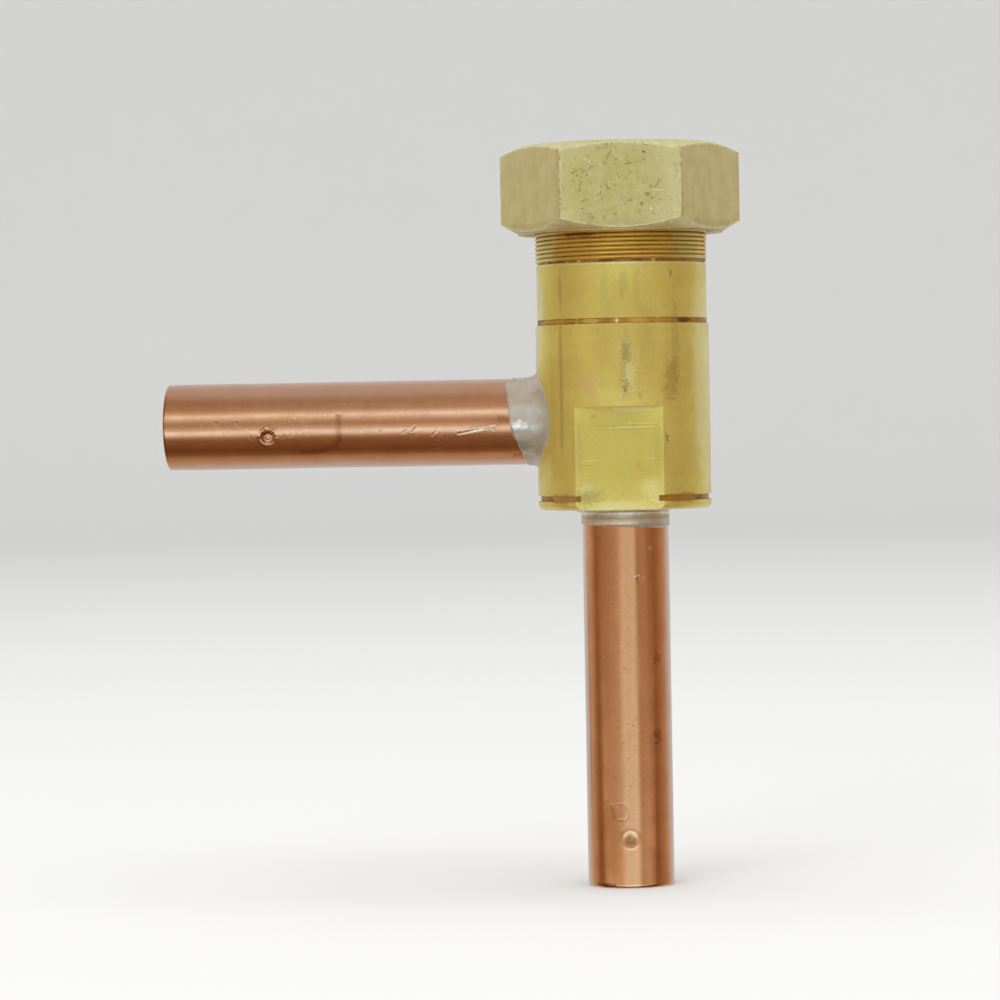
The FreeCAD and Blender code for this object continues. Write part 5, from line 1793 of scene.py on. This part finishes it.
def nut_spots() -> tuple[Spot, ...]:
    """Lists the marks on the nut's front face."""
    dark = (0.30, 0.24, 0.08)
    bright = (1.0, 0.96, 0.62)
    rows = tuple(
        Spot((-5.0, -18.75, height), (0.2, 0.6, 0.22), dark, 0.75, 0.4, 0.1, -0.03, 2500.0)
        for height in (127.0, 127.8, 128.6, 129.5)
    )
    pits = tuple(
        Spot((x, -18.9, height), (reach, 0.8, reach), dark, 0.8, 0.6, 0.15, -0.05, 2500.0)
        for x, height, reach in (
            (6.3, 125.6, 0.55), (7.0, 125.1, 0.4), (5.07, 124.0, 0.4), (-5.3, 122.5, 0.3),
            (5.6, 133.1, 0.35), (8.3, 124.6, 0.3), (6.7, 127.3, 0.28),
        )
    )
    specks = tuple(
        Spot((x, -18.85, height), (reach, 0.6, reach), bright, 0.95, 0.5, -0.2, 0.02, 3000.0)
        for x, height, reach in (
            (-3.87, 132.4, 0.22), (-2.49, 129.9, 0.25), (1.47, 132.0, 0.22), (10.16, 129.3, 0.2),
            (4.0, 130.6, 0.18), (7.4, 125.9, 0.22), (-6.4, 131.0, 0.15), (2.6, 125.5, 0.18),
            (-1.0, 127.4, 0.15),
        )
    )
    lines = (
        Spot((8.0, -18.5, 126.4), (1.5, 0.6, 0.13), bright, 0.8, 0.3, -0.1, 0.0, 2000.0),
        Spot((-8.5, -19.6, 123.4), (1.0, 0.9, 0.12), dark, 0.6, 0.3, 0.0, -0.02, 2000.0),
    )
    shade = (0.16, 0.06, 0.03)
    broad = (
        Spot((0.0, -19.05, 127.5), (14.0, 2.0, 12.0), (0.62, 0.51, 0.16), 0.85, 0.05, 0.0, 0.0, 300.0),
        Spot((0.0, 0.0, 119.6), (70.0, 70.0, 2.4), (0.60, 0.46, 0.20), 0.55, 0.15, 0.03, 0.0, 400.0),
        Spot((16.6, -3.6, 119.5), (1.1, 2.6, 0.3), shade, 0.85, 0.3, 0.0),
        Spot((-16.6, -1.0, 119.5), (1.1, 2.6, 0.3), shade, 0.7, 0.3, 0.0),
        Spot((-8.0, -17.2, 120.0), (6.0, 2.2, 0.9), (0.60, 0.42, 0.17), 0.6, 0.3, 0.0, 0.0, 400.0),
    )
    return broad + rows + pits + specks + lines


def braze_spots() -> tuple[Spot, ...]:
    """Lists the light and dark bands of both brazed joints, among them painted highlight lines, a painted
    glint and a painted shade over a reflection.
    """
    dark = (0.44, 0.37, 0.29)
    light = (1.0, 0.90, 0.74)
    return (
        Spot((0.0, 0.0, 67.4), (14.0, 14.0, 1.9), (0.86, 0.65, 0.39), 0.7, 0.1, 0.0, 0.0, 400.0),
        Spot((0.0, 0.0, 67.6), (16.0, 16.0, 0.55), dark, 0.7, 0.25, 0.05, -0.03, 700.0),
        # Pale lines along the fillet's top and along the film's lower edge: painted highlights.
        Spot((0.0, 0.0, 68.35), (20.0, 20.0, 0.24), light, 0.85, 0.4, -0.1, 0.03),
        Spot((-2.0, -8.5, 66.65), (9.0, 4.0, 0.34), light, 0.85, 0.4, -0.1, 0.03),
        # Darker, rougher patch over the side joint's upper reflection band: painted shade that dims the
        # reflection.
        Spot((-18.0, -8.6, 87.3), (5.0, 3.0, 1.2), (0.62, 0.55, 0.44), 0.7, 0.3, 0.16, 0.0, 600.0),
        # Bright spot low on the side joint's front: a painted glint.
        Spot((-18.4, -9.4, 84.9), (2.4, 2.4, 1.2), (1.0, 0.94, 0.80), 1.0, 0.5, -0.05),
        Spot((-18.2, -7.0, 81.2), (2.4, 3.0, 1.3), (0.30, 0.30, 0.24), 0.55, 0.4, 0.0, 0.0, 600.0),
        Spot((-17.0, -5.6, 92.0), (3.6, 3.6, 1.8), (0.72, 0.64, 0.56), 0.6, 0.3, 0.1, 0.0, 500.0),
    )


def side_stub_spots(stub: CopperStub) -> tuple[Spot, ...]:
    """Lists the tarnish, the dust with painted sheen along the top and the bottom, and the bright marks on
    the side stub.

    Args:
        stub: The side stub.

    Returns:
        The marks.
    """
    at = stub.place_of
    bright = (1.0, 0.80, 0.52)
    red = (0.52, 0.16, 0.08)
    dust_and_sheen = (0.82, 0.50, 0.355)
    return (
        # Paler bands along the top and the bottom of the tube: dust, and a painted reflection of the pale
        # surroundings.
        Spot(at(-80.0, 34.0), (56.0, 9.0, 5.3), dust_and_sheen, 0.6, 0.12, 0.06, 0.0, 450.0),
        Spot(at(64.0, 34.0), (56.0, 5.0, 3.1), dust_and_sheen, 0.75, 0.12, 0.06, 0.0, 450.0),
        Spot(at(-18.0, 62.9), (1.8, 1.2, 0.9), red, 0.6, 0.5, 0.05, 0.0, 1200.0),
        Spot(at(35.0, 65.6), (1.6, 1.2, 0.8), red, 0.6, 0.6, 0.08, 0.0, 1500.0),
        Spot(at(-7.0, 40.4), (0.5, 0.5, 0.4), red, 0.4, 0.5, 0.05, 0.0, 1900.0),
        Spot(at(2.0, 28.0), (1.6, 0.8, 0.5), (0.60, 0.27, 0.13), 0.4, 0.5, 0.05, 0.0, 1400.0),
        Spot(at(-5.3, 57.8), (3.4, 0.8, 0.5), bright, 0.55, 0.9, -0.05, 0.01, 1800.0),
    )


def lower_stub_spots(stub: CopperStub) -> tuple[Spot, ...]:
    """Lists the tarnish and bright marks on the lower stub, the dust with painted sheen along both side
    edges and a painted highlight tint down its front.

    Args:
        stub: The lower stub.

    Returns:
        The marks.
    """
    at = stub.place_of
    red = (0.62, 0.24, 0.11)
    pink = (0.96, 0.50, 0.30)
    brown = (0.46, 0.17, 0.07)
    dust_and_sheen = (0.82, 0.60, 0.46)
    bright = (1.0, 0.84, 0.60)
    marks = [
        # Paler bands down both side edges: dust, and a painted reflection of the pale surroundings at the
        # grazing edges.
        Spot((-8.7, -0.8, 33.0), (3.0, 7.5, 90.0), dust_and_sheen, 0.8, 0.15, 0.05, 0.0, 400.0),
        Spot((8.7, 0.8, 33.0), (3.0, 7.5, 90.0), dust_and_sheen, 0.8, 0.15, 0.05, 0.0, 400.0),
        # Paler, sandier tint down the front middle, where the highlight runs: a painted highlight.
        Spot((0.9, -7.9, 36.0), (2.2, 1.5, 90.0), (1.0, 0.54, 0.25), 0.8, 0.06, -0.02, 0.0, 300.0),
        Spot(at(35.0, 62.1), (0.45, 0.6, 0.8), (1.0, 0.68, 0.50), 0.8, 0.4, 0.08, 0.01, 1500.0),
        Spot(at(40.0, 53.5), (0.5, 0.5, 1.2), pink, 0.4, 0.6, 0.0, 0.0, 1500.0),
        Spot(at(43.0, 41.9), (1.3, 1.3, 1.2), brown, 0.45, 0.5, 0.03, 0.0, 1100.0),
        Spot(at(41.0, 27.6), (1.2, 1.2, 1.7), (0.40, 0.10, 0.05), 0.5, 0.8, 0.05, 0.0, 1300.0),
        Spot(at(-30.0, 9.0), (2.8, 2.4, 9.5), (0.80, 0.33, 0.10), 0.6, 0.35, 0.0, 0.0, 700.0),
        Spot(at(12.5, 56.9), (0.35, 0.4, 0.16), bright, 0.9, 0.4, -0.05, 0.01, 2500.0),
        Spot(at(17.8, 57.1), (0.30, 0.4, 0.18), bright, 0.9, 0.4, -0.05, 0.01, 2500.0),
        Spot(at(23.0, 56.6), (0.25, 0.4, 0.16), bright, 0.8, 0.4, -0.05, 0.01, 2500.0),
        Spot(at(-61.7, 36.0), (0.5, 0.5, 34.0), brown, 0.35, 0.2),
        Spot(at(-10.2, 13.9), (0.9, 0.6, 1.5), red, 0.3, 0.7, 0.03, 0.0, 1300.0),
        Spot(at(-12.0, 20.0), (2.6, 1.2, 5.0), (0.82, 0.36, 0.16), 0.25, 0.5),
        Spot(at(20.0, 40.0), (2.0, 1.4, 6.0), (0.84, 0.38, 0.18), 0.25, 0.5),
        Spot(at(-36.0, 0.55), (2.6, 2.4, 0.55), (0.40, 0.10, 0.05), 0.7, 0.4, 0.05, 0.0, 700.0),
    ]
    for angle, height, reach in (
        (13.7, 45.5, 0.28), (0.4, 44.9, 0.22), (39.7, 41.0, 0.35), (-7.2, 26.7, 0.3), (6.3, 29.7, 0.25),
        (39.2, 27.7, 0.3), (15.2, 56.6, 0.45), (-20.0, 52.0, 0.2), (25.0, 20.5, 0.25),
    ):
        centre = at(angle, height)
        marks.append(Spot(centre, (reach, 0.5, reach), red, 0.6, 0.6, 0.05, -0.01, 2400.0))
    return tuple(marks)


class InnerPieces:
    """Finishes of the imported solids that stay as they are, by the record's slots."""

    finishes = {
        Slot.WASHER_STEEL: PlainFinish(
            "plated washer", (0.62, 0.62, 0.60), (0.44, 0.44, 0.42), 0.32, 1.0, (300, 300, 300), 0.002,
        ),
        Slot.GASKET_FIBRE: PlainFinish(
            "compressed fibre", (0.055, 0.055, 0.05), (0.10, 0.095, 0.085),
            0.85, 0.0, (2500, 2500, 2500), 0.02,
        ),
        Slot.CAN_STEEL: PlainFinish(
            "drawn stainless steel", (0.60, 0.59, 0.57), (0.48, 0.47, 0.45),
            0.24, 1.0, (120, 120, 5200), 0.0015,
        ),
        Slot.SEAL_GLASS: PlainFinish(
            "fused glass", (0.03, 0.10, 0.07), (0.05, 0.14, 0.10),
            0.12, 0.0, (900, 900, 900), 0.001, 0.2,
        ),
        Slot.PIN_PLATING: PlainFinish(
            "plated contact", (0.93, 0.72, 0.32), (0.80, 0.58, 0.22),
            0.18, 1.0, (400, 400, 3000), 0.001,
        ),
        Slot.INSULATOR: PlainFinish(
            "moulded insulator", (0.62, 0.58, 0.46), (0.55, 0.50, 0.38),
            0.5, 0.0, (900, 900, 900), 0.006,
        ),
        Slot.POLE_STEEL: PlainFinish(
            "zinc plated sheet", (0.52, 0.53, 0.54), (0.40, 0.41, 0.43),
            0.36, 1.0, (700, 700, 700), 0.003,
        ),
        Slot.BOBBIN_PLASTIC: PlainFinish(
            "moulded bobbin", (0.66, 0.62, 0.52), (0.60, 0.56, 0.46),
            0.45, 0.0, (1200, 1200, 1200), 0.005,
        ),
        Slot.COIL_WIRE: PlainFinish(
            "enamelled wire winding", (0.72, 0.26, 0.09), (0.30, 0.09, 0.03),
            0.3, 0.7, (40, 40, 7000), 0.03,
        ),
        Slot.BUSH_BRONZE: PlainFinish(
            "sintered bronze", (0.50, 0.30, 0.13), (0.32, 0.19, 0.08),
            0.5, 1.0, (3200, 3200, 3200), 0.01,
        ),
        Slot.FERRITE: PlainFinish(
            "pressed ferrite", (0.035, 0.034, 0.036), (0.06, 0.058, 0.06),
            0.55, 0.0, (2600, 2600, 2600), 0.008,
        ),
        Slot.HUB_PLASTIC: PlainFinish(
            "moulded hub", (0.022, 0.022, 0.024), (0.04, 0.04, 0.042),
            0.4, 0.0, (1200, 1200, 1200), 0.005,
        ),
        Slot.SCREW_STEEL: PlainFinish(
            "ground stainless steel", (0.66, 0.66, 0.65), (0.52, 0.52, 0.51),
            0.2, 1.0, (90, 90, 6500), 0.0015,
        ),
        Slot.PISTON_BRASS: PlainFinish(
            "fine turned brass", (0.86, 0.66, 0.25), (0.74, 0.54, 0.18),
            0.26, 1.0, (90, 90, 6000), 0.002,
        ),
        Slot.SEAL_POLYMER: PlainFinish(
            "fluoropolymer seal", (0.80, 0.80, 0.77), (0.72, 0.72, 0.69),
            0.35, 0.0, (1000, 1000, 1000), 0.004,
        ),
    }

    def make(self, effects: Effects) -> None:
        """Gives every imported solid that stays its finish.

        Args:
            effects: The shared effects.
        """
        built = {slot.value: finish.build(effects) for slot, finish in self.finishes.items()}
        for row in frame["record"]["subparts"]:
            material = built.get(row["material_slot"])
            if material is None:
                continue
            for holder in frame["nodes"][row["node"]].material_slots:
                holder.material = material
            LOG.info("%s: %s", row["node"], material.name)


def barrel_wall(radius: float, angle: float) -> float:
    """Says where the body's wall is along the side stub's axis.

    Args:
        radius: Distance from that axis.
        angle: Angle round it in degrees.

    Returns:
        The place along the axis, in millimetres.
    """
    across = radius * math.sin(math.radians(angle))
    return -math.sqrt(BODY_RADIUS ** 2 - across ** 2)


def underside(radius: float, angle: float) -> float:
    """Says where the body's flat underside is along the lower stub's axis.

    Args:
        radius: Distance from that axis, which makes no difference here.
        angle: Angle round it in degrees, which makes none either.

    Returns:
        The place along the axis, in millimetres.
    """
    return BODY_BASE


def make_body_and_nut(effects: Effects) -> None:
    """Makes the turned body, its thread and the union nut.

    Args:
        effects: The shared effects.
    """
    body_brass = MetalFinish(
        "turned body brass", bright=(0.92, 0.74, 0.18), dull=(0.84, 0.66, 0.16), fleck=(0.62, 0.49, 0.14),
        worn=(1.0, 0.92, 0.50), roughness=0.33, dullness=0.08, metallic=0.72, cloud_size=8.0,
        lines=(70, 70, 2600), line_height=0.0010, pit_scarcity=0.68, pit_colour=(0.40, 0.30, 0.09),
        pit_zone=((2.0, -15.5, 92.0), (7.0, 3.5, 9.0)), knocks=0.45, spots=body_spots() + groove_spots(),
    ).build(effects)
    thread_brass = MetalFinish(
        "thread brass", bright=(0.95, 0.64, 0.13), dull=(0.84, 0.54, 0.11), fleck=(0.60, 0.38, 0.09),
        worn=(1.0, 0.88, 0.45), patina=((0.52, 0.27, 0.04), (0.28, 0.13, 0.02)), roughness=0.28,
        dullness=0.1, metallic=0.8, cloud_size=4.0, lines=(200, 200, 900), line_height=0.001,
        pit_scarcity=0.8, spots=thread_spots(),
    ).build(effects)
    nut_brass = MetalFinish(
        "union nut brass", bright=(0.83, 0.72, 0.33), dull=(0.76, 0.65, 0.29), fleck=(0.50, 0.42, 0.15),
        worn=(1.0, 0.95, 0.60), patina=((0.66, 0.38, 0.10), (0.50, 0.32, 0.09)), roughness=0.40,
        dullness=0.08, metallic=0.72, cloud_size=3.0, lines=(400, 400, 400), line_height=0.003,
        scratch_share=0.3, knocks=1.1, pit_scarcity=0.45, pit_pitch=0.9,
        pit_depth=0.05, pit_colour=(0.36, 0.31, 0.11),
        pit_zone=((1.0, -19.0, 127.5), (17.0, 2.2, 12.5)), spots=nut_spots(),
    ).build(effects)
    ValveBody().make(body_brass, thread_brass)
    UnionNut().make(nut_brass)


def make_lower_stub(effects: Effects) -> None:
    """Makes the stub that points down.

    Args:
        effects: The shared effects.
    """
    stub = CopperStub(
        "lower_stub", "lower_stub_tube", STUB_SEAT, Matrix.Rotation(math.radians(-87), 4, "Z"),
        Dent.SHALLOW_MARK, 9.0, 1.45, 0.07, fine_from=6.0, fine_to=17.0,
        presses=(
            Press(((14.6, 56.9), (16.0, 56.2)), 0.3, 0.06, 0.02, 0.5),
            Press(
                ((-16.9, 15.4), (-6.0, 15.4), (-1.0, 14.3), (-1.0, 13.3), (-6.0, 12.4), (-16.9, 12.5)),
                0.2, 0.025, 0.0, 0.3,
            ),
            Press(((-24.0, 15.0), (-21.0, 13.2)), 0.7, 0.02, 0.0, 0.25),
        ),
    )
    stub.make(MetalFinish(
        "lower stub copper", bright=(1.0, 0.475, 0.21), dull=(0.90, 0.41, 0.18), fleck=(0.72, 0.31, 0.14),
        worn=(1.0, 0.74, 0.50), patina=((0.42, 0.15, 0.06), (0.30, 0.10, 0.04)), roughness=0.10,
        dullness=0.06, lines=(2600, 2600, 60), line_height=0.0007,
        scratch_turn=(0.2, 0.4, 0.3), scratch_scarcity=0.76, scratch_depth=0.004, scratch_share=0.25,
        pit_scarcity=0.72, pit_depth=0.008, pit_colour=(0.62, 0.26, 0.12),
        pit_zone=((0.0, -7.6, 32.0), (7.5, 6.0, 36.0)), knocks=0.5, spots=lower_stub_spots(stub),
    ).build(effects))


def make_side_stub(effects: Effects) -> None:
    """Makes the stub that points to the left.

    Args:
        effects: The shared effects.
    """
    lean = math.radians(15.5)
    stop_side = Vector((0, -math.cos(lean), -math.sin(lean)))
    inward = Vector((1, 0, 0))
    level = Matrix((stop_side, inward.cross(stop_side), inward)).transposed().to_4x4()
    open_end = Vector((-84.45, 0, SIDE_AXIS))
    stub = CopperStub(
        "side_stub", "side_stub_tube", 72.95, Matrix.Translation(open_end * MM) @ level,
        Dent.PUNCHED_STOP, 19.5, 1.4, 0.85, fine_from=8.0, fine_to=65.0,
        presses=(
            Press(
                ((-25.8, 32.6), (5.6, 32.6), (14.0, 31.6), (19.5, 29.0), (20.5, 25.6)),
                0.9, 0.05, 0.0, 0.45,
            ),
            Press(((-20.9, 9.9), (-20.7, 10.2)), 0.35, 0.06, 0.02),
            Press(((-20.4, 13.6), (-20.2, 13.9)), 0.35, 0.06, 0.02),
            Press(((-2.5, 44.5), (-8.6, 45.1)), 0.24, 0.06, 0.03, 0.6),
            Press(((-5.0, 46.1), (-12.1, 46.7)), 0.28, 0.07, 0.03, 0.8),
            Press(((1.6, 49.7), (-5.6, 50.8)), 0.24, 0.05, 0.03, 0.0, 0.9),
            Press(((8.3, 50.9), (4.6, 51.2)), 0.22, 0.05, 0.03, 0.0, 0.8),
            Press(((-0.7, 54.6), (-4.0, 57.0), (-10.0, 61.4)), 0.3, 0.05, 0.03, 0.0, 0.8),
            Press(((25.0, 49.4), (17.6, 52.7)), 0.2, 0.04, 0.02, 0.0, 0.9),
            Press(((8.3, 61.7), (13.3, 63.6)), 0.24, 0.05, 0.02, 0.0, 0.9),
            Press(((-4.0, 15.9), (3.3, 16.6)), 0.18, 0.05, 0.03, 0.0, 0.7),
            Press(((3.0, 21.9), (-3.5, 22.7)), 0.18, 0.05, 0.03, 0.0, 0.7),
            Press(((0.5, 23.4), (-6.0, 24.3)), 0.18, 0.04, 0.03, 0.0, 0.6),
            Press(((-12.0, 24.6), (-21.0, 25.9), (-17.0, 26.6)), 0.16, 0.04, 0.03, 0.0, 0.6),
        ),
    )
    stub.make(MetalFinish(
        "side stub copper", bright=(0.88, 0.43, 0.21), dull=(0.79, 0.38, 0.18), fleck=(0.60, 0.28, 0.14),
        worn=(1.0, 0.72, 0.42), patina=((0.40, 0.15, 0.07), (0.26, 0.09, 0.04)), roughness=0.11,
        dullness=0.07, cloud_size=5.0, lines=(60, 2600, 2600), line_height=0.0007,
        scratch_turn=(0.2, 0.9, 0.3), scratch_scarcity=0.76, scratch_depth=0.004, scratch_share=0.25,
        pit_scarcity=0.72, pit_depth=0.008, pit_colour=(0.50, 0.22, 0.11),
        pit_zone=((-46.0, -7.6, 86.0), (48.0, 6.0, 6.5)), knocks=0.4, spots=side_stub_spots(stub),
    ).build(effects))


def make_joints(effects: Effects) -> None:
    """Makes the braze at both stubs.

    Args:
        effects: The shared effects.
    """
    alloy = MetalFinish(
        "braze alloy", bright=(0.66, 0.58, 0.47), dull=(0.54, 0.48, 0.38), fleck=(0.46, 0.40, 0.32),
        worn=(0.95, 0.94, 0.9), patina=((0.20, 0.16, 0.10), (0.08, 0.065, 0.04)), roughness=0.25,
        dullness=0.12, metallic=0.6, cloud_size=2.5, lines=(500, 500, 500), line_height=0.006,
        scratch_scarcity=0.8, pit_scarcity=0.68, pit_pitch=0.8, pit_colour=(0.34, 0.30, 0.25),
        spots=braze_spots(),
    ).build(effects)
    level = Matrix((Vector((0, 0, 1)), Vector((0, -1, 0)), Vector((1, 0, 0)))).transposed().to_4x4()
    BrazeJoint(
        "side_braze", "side_braze_joint", barrel_wall,
        Matrix.Translation(Vector((0, 0, SIDE_AXIS)) * MM) @ level,
        film_end=(
            (-180, -17.6), (-150, -18.0), (-120, -19.8), (-90, -20.8), (-60, -21.3), (-30, -20.7),
            (0, -20.2), (17, -20.8), (33, -21.4), (53, -21.06), (72, -20.67), (96, -20.35), (107, -19.9),
            (120, -19.07), (138, -18.3), (155, -17.9),
        ),
        spread=((-180, 0.9), (-90, 1.6), (-30, 1.6), (0, 1.7), (45, 1.6), (90, 1.75), (135, 1.2)),
        climb=((-180, 0.9), (-90, 2.2), (0, 2.2), (60, 2.6), (90, 2.6), (135, 1.6)),
    ).make(alloy)
    BrazeJoint(
        "lower_braze", "lower_braze_joint", underside, Matrix.Identity(4),
        film_end=(
            (-180, 66.4), (-140, 66.2), (-110, 66.1), (-90, 65.95), (-60, 65.7), (-30, 65.6), (0, 65.8),
            (40, 66.2), (90, 66.3), (140, 66.6),
        ),
        spread=(
            (-180, 5.6), (-150, 4.6), (-110, 1.6), (-60, 0.8), (0, 0.7), (60, 0.9), (120, 2.4), (160, 4.8),
        ),
        climb=((-180, 1.0), (-110, 0.8), (0, 0.6), (120, 0.8)),
        ridge=0.1,
    ).make(alloy)


def main() -> None:
    """Builds the studio and every piece, in the order of assembly."""
    logging.basicConfig(level=logging.INFO, format="%(name)s: %(message)s")
    effects = Effects()
    Studio().make()
    make_body_and_nut(effects)
    make_lower_stub(effects)
    make_side_stub(effects)
    make_joints(effects)
    InnerPieces().make(effects)


if __name__ == "__main__":
    main()
